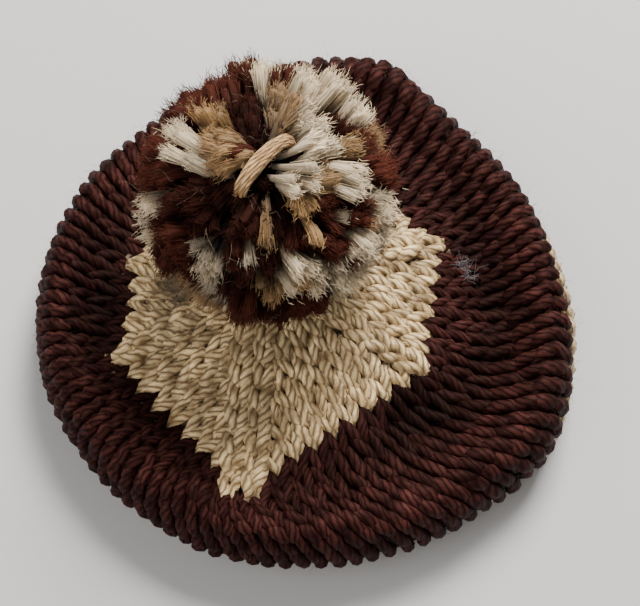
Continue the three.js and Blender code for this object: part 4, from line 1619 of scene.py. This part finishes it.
    def add_end_fuzz(self, parts: MeshParts, line: Array, bright: Array,
                     chance: np.random.Generator) -> None:
        """Adds the short stray fibres that blur each yarn's cut end.

        Args:
            parts: Where the fibres go.
            line: The yarns' root, bulge and end points.
            bright: How bright each yarn is.
            chance: Where their places come from.
        """
        shape = (len(line), self.end_fibres)
        ahead = unit(line[:, 2] - line[:, 1])[:, None]
        spot = self.yarn_radius * self.brush * chance.standard_normal((*shape, 3))
        root = line[:, 2][:, None] + spot - ahead * 1.3 * MM
        way = unit(ahead + 0.55 * chance.standard_normal((*shape, 3)))
        bend = unit(chance.standard_normal((*shape, 3)))
        length = chance.uniform(0.9, 1.7, shape) * MM
        s = np.array([0.0, 0.55, 1.0])[:, None]
        fibre = root[:, :, None] + length[..., None, None] * (
            way[:, :, None] * s + 0.5 * bend[:, :, None] * s**2)
        fibre = fibre.reshape(-1, 3, 3)
        thick = self.brush * self.fibre_radius * np.array([1.0, 0.85])
        # Painted light: the fuzz is up to a third brighter than its yarn, as fine ends that
        # catch light
        tone = (bright[:, None] * chance.uniform(0.95, 1.3, shape)).ravel()
        self.finish_spines(parts, fibre, np.broadcast_to(thick, (len(fibre), 2)), tone)

    def finish_spines(self, parts: MeshParts, fibre: Array, thick: Array,
                      tone: Array) -> None:
        """Adds fibres, kept above the crown and given painted shade towards the pompom's
        inside.
        """
        self.keep_above(fibre)
        add_spines(parts, fibre, thick, np.clip(tone, 0.1, 1.5), self.depth(fibre))

    def depth(self, points: Array) -> Array:
        """Returns how open points lie, from the pompom's inside out, which sets their painted
        shade.
        """
        out = np.linalg.norm(points - self.middle, axis=-1) / self.radius
        return smooth((out - self.dark_inside) / self.dark_fade)

    def keep_above(self, points: Array) -> None:
        """Lifts points that would sink into the crown onto it.

        Args:
            points: The points, changed in place.
        """
        x = points[..., 0] - self.form.middle_x
        y = points[..., 1] - self.form.middle_y
        floor = self.form.crown_height(x, y) + self.above_crown
        points[..., 2] = np.maximum(points[..., 2], floor)

    def build(self) -> None:
        """Makes the pompom's pieces, one for each colour, and two of the brown yarns."""
        chance = np.random.default_rng(self.seed)
        ends = self.ends(chance)
        line = self.lines(ends, chance)
        finishes = {BROWN: BROWN_FIBRES, TAN: TAN_FIBRES, CREAM: CREAM_FIBRES}
        for number, lock in enumerate(LockColour):
            if lock is HOLE:
                continue
            chosen = np.flatnonzero(ends.colour == number)
            batches = (chosen[::2], chosen[1::2]) if lock is BROWN else (chosen,)
            for half, batch in enumerate(batches):
                first = lock is BROWN and half == 0
                parts = MeshParts()
                self.add_fibres(parts, line[batch], ends.tone[batch], chance)
                if first:
                    self.add_heart(parts)
                name = f"pompom_{lock.value}_locks" + ("_more" if half else "")
                parts.build(name, finishes[lock].material(), "pompom_yarn",
                            ("pompom",) if first else ())

    def add_heart(self, parts: MeshParts) -> None:
        """Adds a dark uneven ball that fills the pompom's inside: painted shade, in the
        fibres' shade colour.

        Its radius is heart times the pompom's, plus small sines of height and turn.

        Args:
            parts: Where the ball goes.
        """
        tall, turn = np.meshgrid(np.linspace(0.04, math.pi - 0.04, 20),
                                 TURN * np.arange(40) / 40, indexing="ij")
        bump = 1 + 0.05 * np.sin(7 * turn) * np.sin(5 * tall) + 0.03 * np.sin(13 * turn + tall)
        way = np.stack([np.sin(tall) * np.cos(turn), np.sin(tall) * np.sin(turn),
                        np.cos(tall)], axis=-1)
        points = self.middle + way * (self.heart * self.radius * bump)[..., None]
        inner = self.middle + way * 0.4 * self.radius
        self.keep_above(points)
        self.keep_above(inner)
        add_sheet(parts, points, inner, 0.5)


@dataclass
class Tie:
    """The tie on the pompom's top: a flat bundle of thin tan strands, slightly twisted.

    Each strand's line is the tie's line plus a point of a flat oval that turns along it.
    """

    pompom: Pompom
    at: float = math.radians(47)
    offset: tuple[float, float] = (0.02, -0.19)
    strands: int = 6
    strand: float = 0.5 * MM
    apart: float = 0.92 * MM
    turns: float = 0.55
    rows: tuple[tuple[float, float], ...] = (  # along and up, in the pompom's radii
        (-0.2, 0.42), (-0.27, 0.62), (-0.24, 0.79), (-0.08, 0.9), (0.12, 0.92),
        (0.25, 0.82), (0.27, 0.56))
    points: int = 56
    sides: int = 10
    pitch: float = 1.6 * MM
    frays: int = 520
    frays_at_end: float = 0.45
    end_points: int = 9  # how many of a strand's points count as its cut end
    seed: int = 16

    def line(self, share: Array) -> Array:
        """Returns the tie's middle line at shares of its length."""
        along = np.array([math.cos(self.at), math.sin(self.at), 0.0])
        rows = np.array(self.rows)
        places = rows[:, :1] * along + np.array([*self.offset, 0.0])
        places[:, 2] = rows[:, 1]
        place = share * (len(rows) - 1)
        points = np.stack([through(places[:, k], place) for k in range(3)], axis=-1)
        return self.pompom.middle + self.pompom.radius * points

    def build(self) -> None:
        """Makes the tie as one piece."""
        chance = np.random.default_rng(self.seed)
        share = np.linspace(0, 1, self.points)
        middle = self.line(share)
        ahead = unit(np.gradient(middle, axis=0))
        side = unit(np.cross(ahead, middle - self.pompom.middle))
        top = np.cross(side, ahead)
        place = np.arange(self.strands)[:, None] / self.strands
        turn = TURN * (place + self.turns * share)
        loose = 1 + 0.12 * np.sin(TURN * (chance.random((self.strands, 1)) + 1.7 * share))
        line = middle + self.apart * (loose * np.cos(turn))[..., None] * side
        line = line + 0.5 * self.apart * (loose * np.sin(turn))[..., None] * top
        shape = line.shape[:2]
        half = np.full(shape, self.strand)
        tone = np.broadcast_to(chance.uniform(0.85, 1.15, (self.strands, 1)), shape)
        parts = MeshParts()
        add_tubes(parts, line, np.broadcast_to(top, line.shape), half, half * 0.9,
                  self.sides, tone, np.ones(shape), self.pitch)
        self.add_frays(parts, line, chance)
        parts.build("pompom_tie_strands", TAN_YARN.material(), "tan_yarn",
                    ("pompom_tie",))

    def add_frays(self, parts: MeshParts, line: Array, chance: np.random.Generator) -> None:
        """Adds the loose fibres of the strands' cut ends and of their skin.

        Args:
            parts: Where the fibres go.
            line: The strands' middle lines.
            chance: Where their places come from.
        """
        count = self.frays
        strand = chance.integers(0, len(line), count)
        at_end = chance.random(count) < self.frays_at_end
        place = np.where(at_end, chance.integers(0, self.end_points, count),
                         chance.integers(0, self.points - 2, count))
        root = line[strand, place]
        ahead = unit(line[strand, place + 1] - root) * np.where(at_end, -1.0, 1.0)[:, None]
        way = unit(ahead + 0.45 * chance.standard_normal(root.shape))
        root = root + self.strand * chance.standard_normal(root.shape)
        length = np.where(at_end, 1.8, 1.1) * chance.uniform(0.6, 1.3, count) * MM
        add_hairs(parts, root, way, length, 0.035 * MM, 0.35, chance)


def add_hairs(parts: MeshParts, root: Array, way: Array, length: Array, thickness: float,
              bend: float, chance: np.random.Generator) -> None:
    """Adds fine curved hairs.

    A hair's point is the root plus way times the length times s, plus a random direction
    times the length times bend times s squared, plus a small wave in another direction.

    Args:
        parts: Where the hairs go.
        root: Where they start.
        way: The directions in which they start.
        length: Their lengths.
        thickness: Their radius.
        bend: How far they turn aside, a share of their length.
        chance: Where the directions come from.
    """
    taper = np.array([1, 1, 0.95, 0.8, 0.35])
    s = np.linspace(0, 1, len(taper))
    size = length[:, None, None]
    aside = unit(chance.standard_normal(way.shape))[:, None]
    wave = unit(chance.standard_normal(way.shape))[:, None]
    line = root[:, None] + way[:, None] * size * s[:, None]
    line = line + aside * size * bend * (s**2)[:, None]
    line = line + wave * size * bend * 0.4 * np.sin(2.2 * math.pi * s)[:, None]
    up = np.broadcast_to(unit(np.cross(way, wave[:, 0]) + 1e-6)[:, None], line.shape)
    half = thickness * taper * np.ones((len(root), 1))
    tone = np.broadcast_to(chance.uniform(0.85, 1.15, (len(root), 1)), half.shape)
    add_tubes(parts, line, up, half, half, 3, tone, np.ones(half.shape), 2 * MM)


@dataclass(frozen=True)
class HairKind:
    """One kind of hair that grows out of a surface in bent and scattered directions."""

    count: int
    upright: float  # how much the surface's outward direction counts
    scatter: float  # how much a random direction counts
    shortest: float  # in millimetres
    longest: float  # in millimetres
    thickness: float
    bend: float
    lift: float = 0.0  # how far above the surface they start

    def grow(self, parts: MeshParts, root: Array, out: Array,
             chance: np.random.Generator) -> None:
        """Grows a hair at each root.

        Args:
            parts: Where the hairs go.
            root: Points on the surface.
            out: Its outward directions there.
            chance: Where the hairs' directions and lengths come from.
        """
        way = unit(self.upright * out + self.scatter * chance.standard_normal(out.shape))
        length = chance.uniform(self.shortest, self.longest, len(root)) * MM
        add_hairs(parts, root + out * self.lift, way, length, self.thickness, self.bend,
                  chance)


RING_HAIRS = HairKind(2000, 0.4, 0.7, 0.7, 2.3, 0.022 * MM, 0.5, -0.3 * MM)
STAR_HAIRS = HairKind(1500, 0.4, 0.7, 0.7, 2.3, 0.022 * MM, 0.5, -0.3 * MM)
FELTED_HAIRS = HairKind(1100, 0.6, 0.7, 0.8, 2.4, 0.05 * MM, 0.7, -0.2 * MM)
FLYING_HAIRS = HairKind(260, 1.0, 0.8, 1.6, 4.4, 0.02 * MM, 0.7)
LINT_HAIRS = HairKind(20, 0.25, 1.0, 0.8, 2.8, 0.026 * MM, 0.8, 0.1 * MM)


@dataclass
class Fuzz:
    """Stray fibres that stand off the knit, the pompom's flying hairs and white lint."""

    form: HatForm
    pompom: Pompom
    felted_at: tuple[float, float] = (-21.5 * MM, 1.5 * MM)
    felted_spread: float = 3.2 * MM
    lint_at: tuple[tuple[float, float], ...] = (
        (31.5 * MM, 7.5 * MM), (33 * MM, 4.5 * MM))
    lint_spread: float = 0.6 * MM
    flying_root: float = 0.93  # where the flying hairs start, a share of the radius
    flying_low: float = -0.35  # none start where the pompom faces down more than this
    seed: int = 17

    def on_crown(self, on_star: bool, count: int,
                 chance: np.random.Generator) -> tuple[Array, Array]:
        """Returns random places and directions on the star or on the dark ring."""
        angle = TURN * chance.random(count)
        edge = self.form.star_reach(angle) / self.form.rim_reach(angle)
        low, high = (0.3 * edge, 0.93 * edge) if on_star else (1.03 * edge, 0.999)
        share = low + (high - low) * np.sqrt(chance.random(count))
        return self.form.surface(angle, self.form.length_at(share))

    def add_patch(self, parts: MeshParts, hairs: HairKind, at: tuple[float, float],
                  spread: float, chance: np.random.Generator) -> None:
        """Adds hairs round a place of the crown.

        Args:
            parts: Where the hairs go.
            hairs: Their kind.
            at: The patch's middle in plan, from the disc's middle.
            spread: How far the hairs lie from it.
            chance: Where their places come from.
        """
        spot = np.array(at) + spread * chance.standard_normal((hairs.count, 2))
        hairs.grow(parts, *self.form.crown(spot[:, 0], spot[:, 1]), chance)

    def knit_fuzz(self, chance: np.random.Generator) -> None:
        """Makes the stray fibres of the ring, and the star's with its rubbed patch."""
        parts = MeshParts()
        root, out = self.on_crown(False, RING_HAIRS.count, chance)
        RING_HAIRS.grow(parts, root, out, chance)
        parts.build("ring_fuzz", BROWN_FUZZ.material(), "dark_yarn")
        parts = MeshParts()
        root, out = self.on_crown(True, STAR_HAIRS.count, chance)
        STAR_HAIRS.grow(parts, root, out, chance)
        self.add_patch(parts, FELTED_HAIRS, self.felted_at, self.felted_spread, chance)
        parts.build("star_fuzz", BEIGE_FUZZ.material(), "light_yarn")

    def flying_hairs(self, chance: np.random.Generator) -> None:
        """Makes the long thin hairs that stand out of the pompom."""
        way = unit(chance.standard_normal((FLYING_HAIRS.count, 3)))
        way = way[way[:, 2] > self.flying_low]
        root = self.pompom.middle + way * self.pompom.radius * self.flying_root
        parts = MeshParts()
        FLYING_HAIRS.grow(parts, root, way, chance)
        parts.build("pompom_flying_hairs", BEIGE_FUZZ.material(), "pompom_yarn")

    def lint(self, chance: np.random.Generator) -> None:
        """Makes the white wisps of lint that lie on the ring beside the star."""
        parts = MeshParts()
        for place in self.lint_at:
            self.add_patch(parts, LINT_HAIRS, place, self.lint_spread, chance)
        parts.build("white_lint", WHITE_LINT.material(), "dark_yarn")

    def build(self) -> None:
        """Makes all the loose fibres."""
        chance = np.random.default_rng(self.seed)
        self.knit_fuzz(chance)
        self.flying_hairs(chance)
        self.lint(chance)


def form_in_frame() -> HatForm:
    """Returns the hat's form, placed by the band's box."""
    low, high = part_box("headband")
    radius = HatForm(0.0, 0.0).band_radius
    return HatForm(middle_x=high.x - radius, middle_y=(low.y + high.y) / 2)


def main() -> None:
    """Builds the hat around its frame."""
    logging.basicConfig(level=logging.INFO, format="%(name)s: %(message)s")
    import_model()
    form = form_in_frame()
    view = Camera()
    view.build(form)
    Stage().build()
    wales = Wales(form)
    pompom = Pompom(form, view)
    Ring(form, wales).build()
    Star(form).build()
    Underside(form, wales).build()
    Headband(form, wales).build()
    pompom.build()
    Tie(pompom).build()
    Fuzz(form, pompom).build()
    log.info("sizes written")


if __name__ == "__main__":
    main()
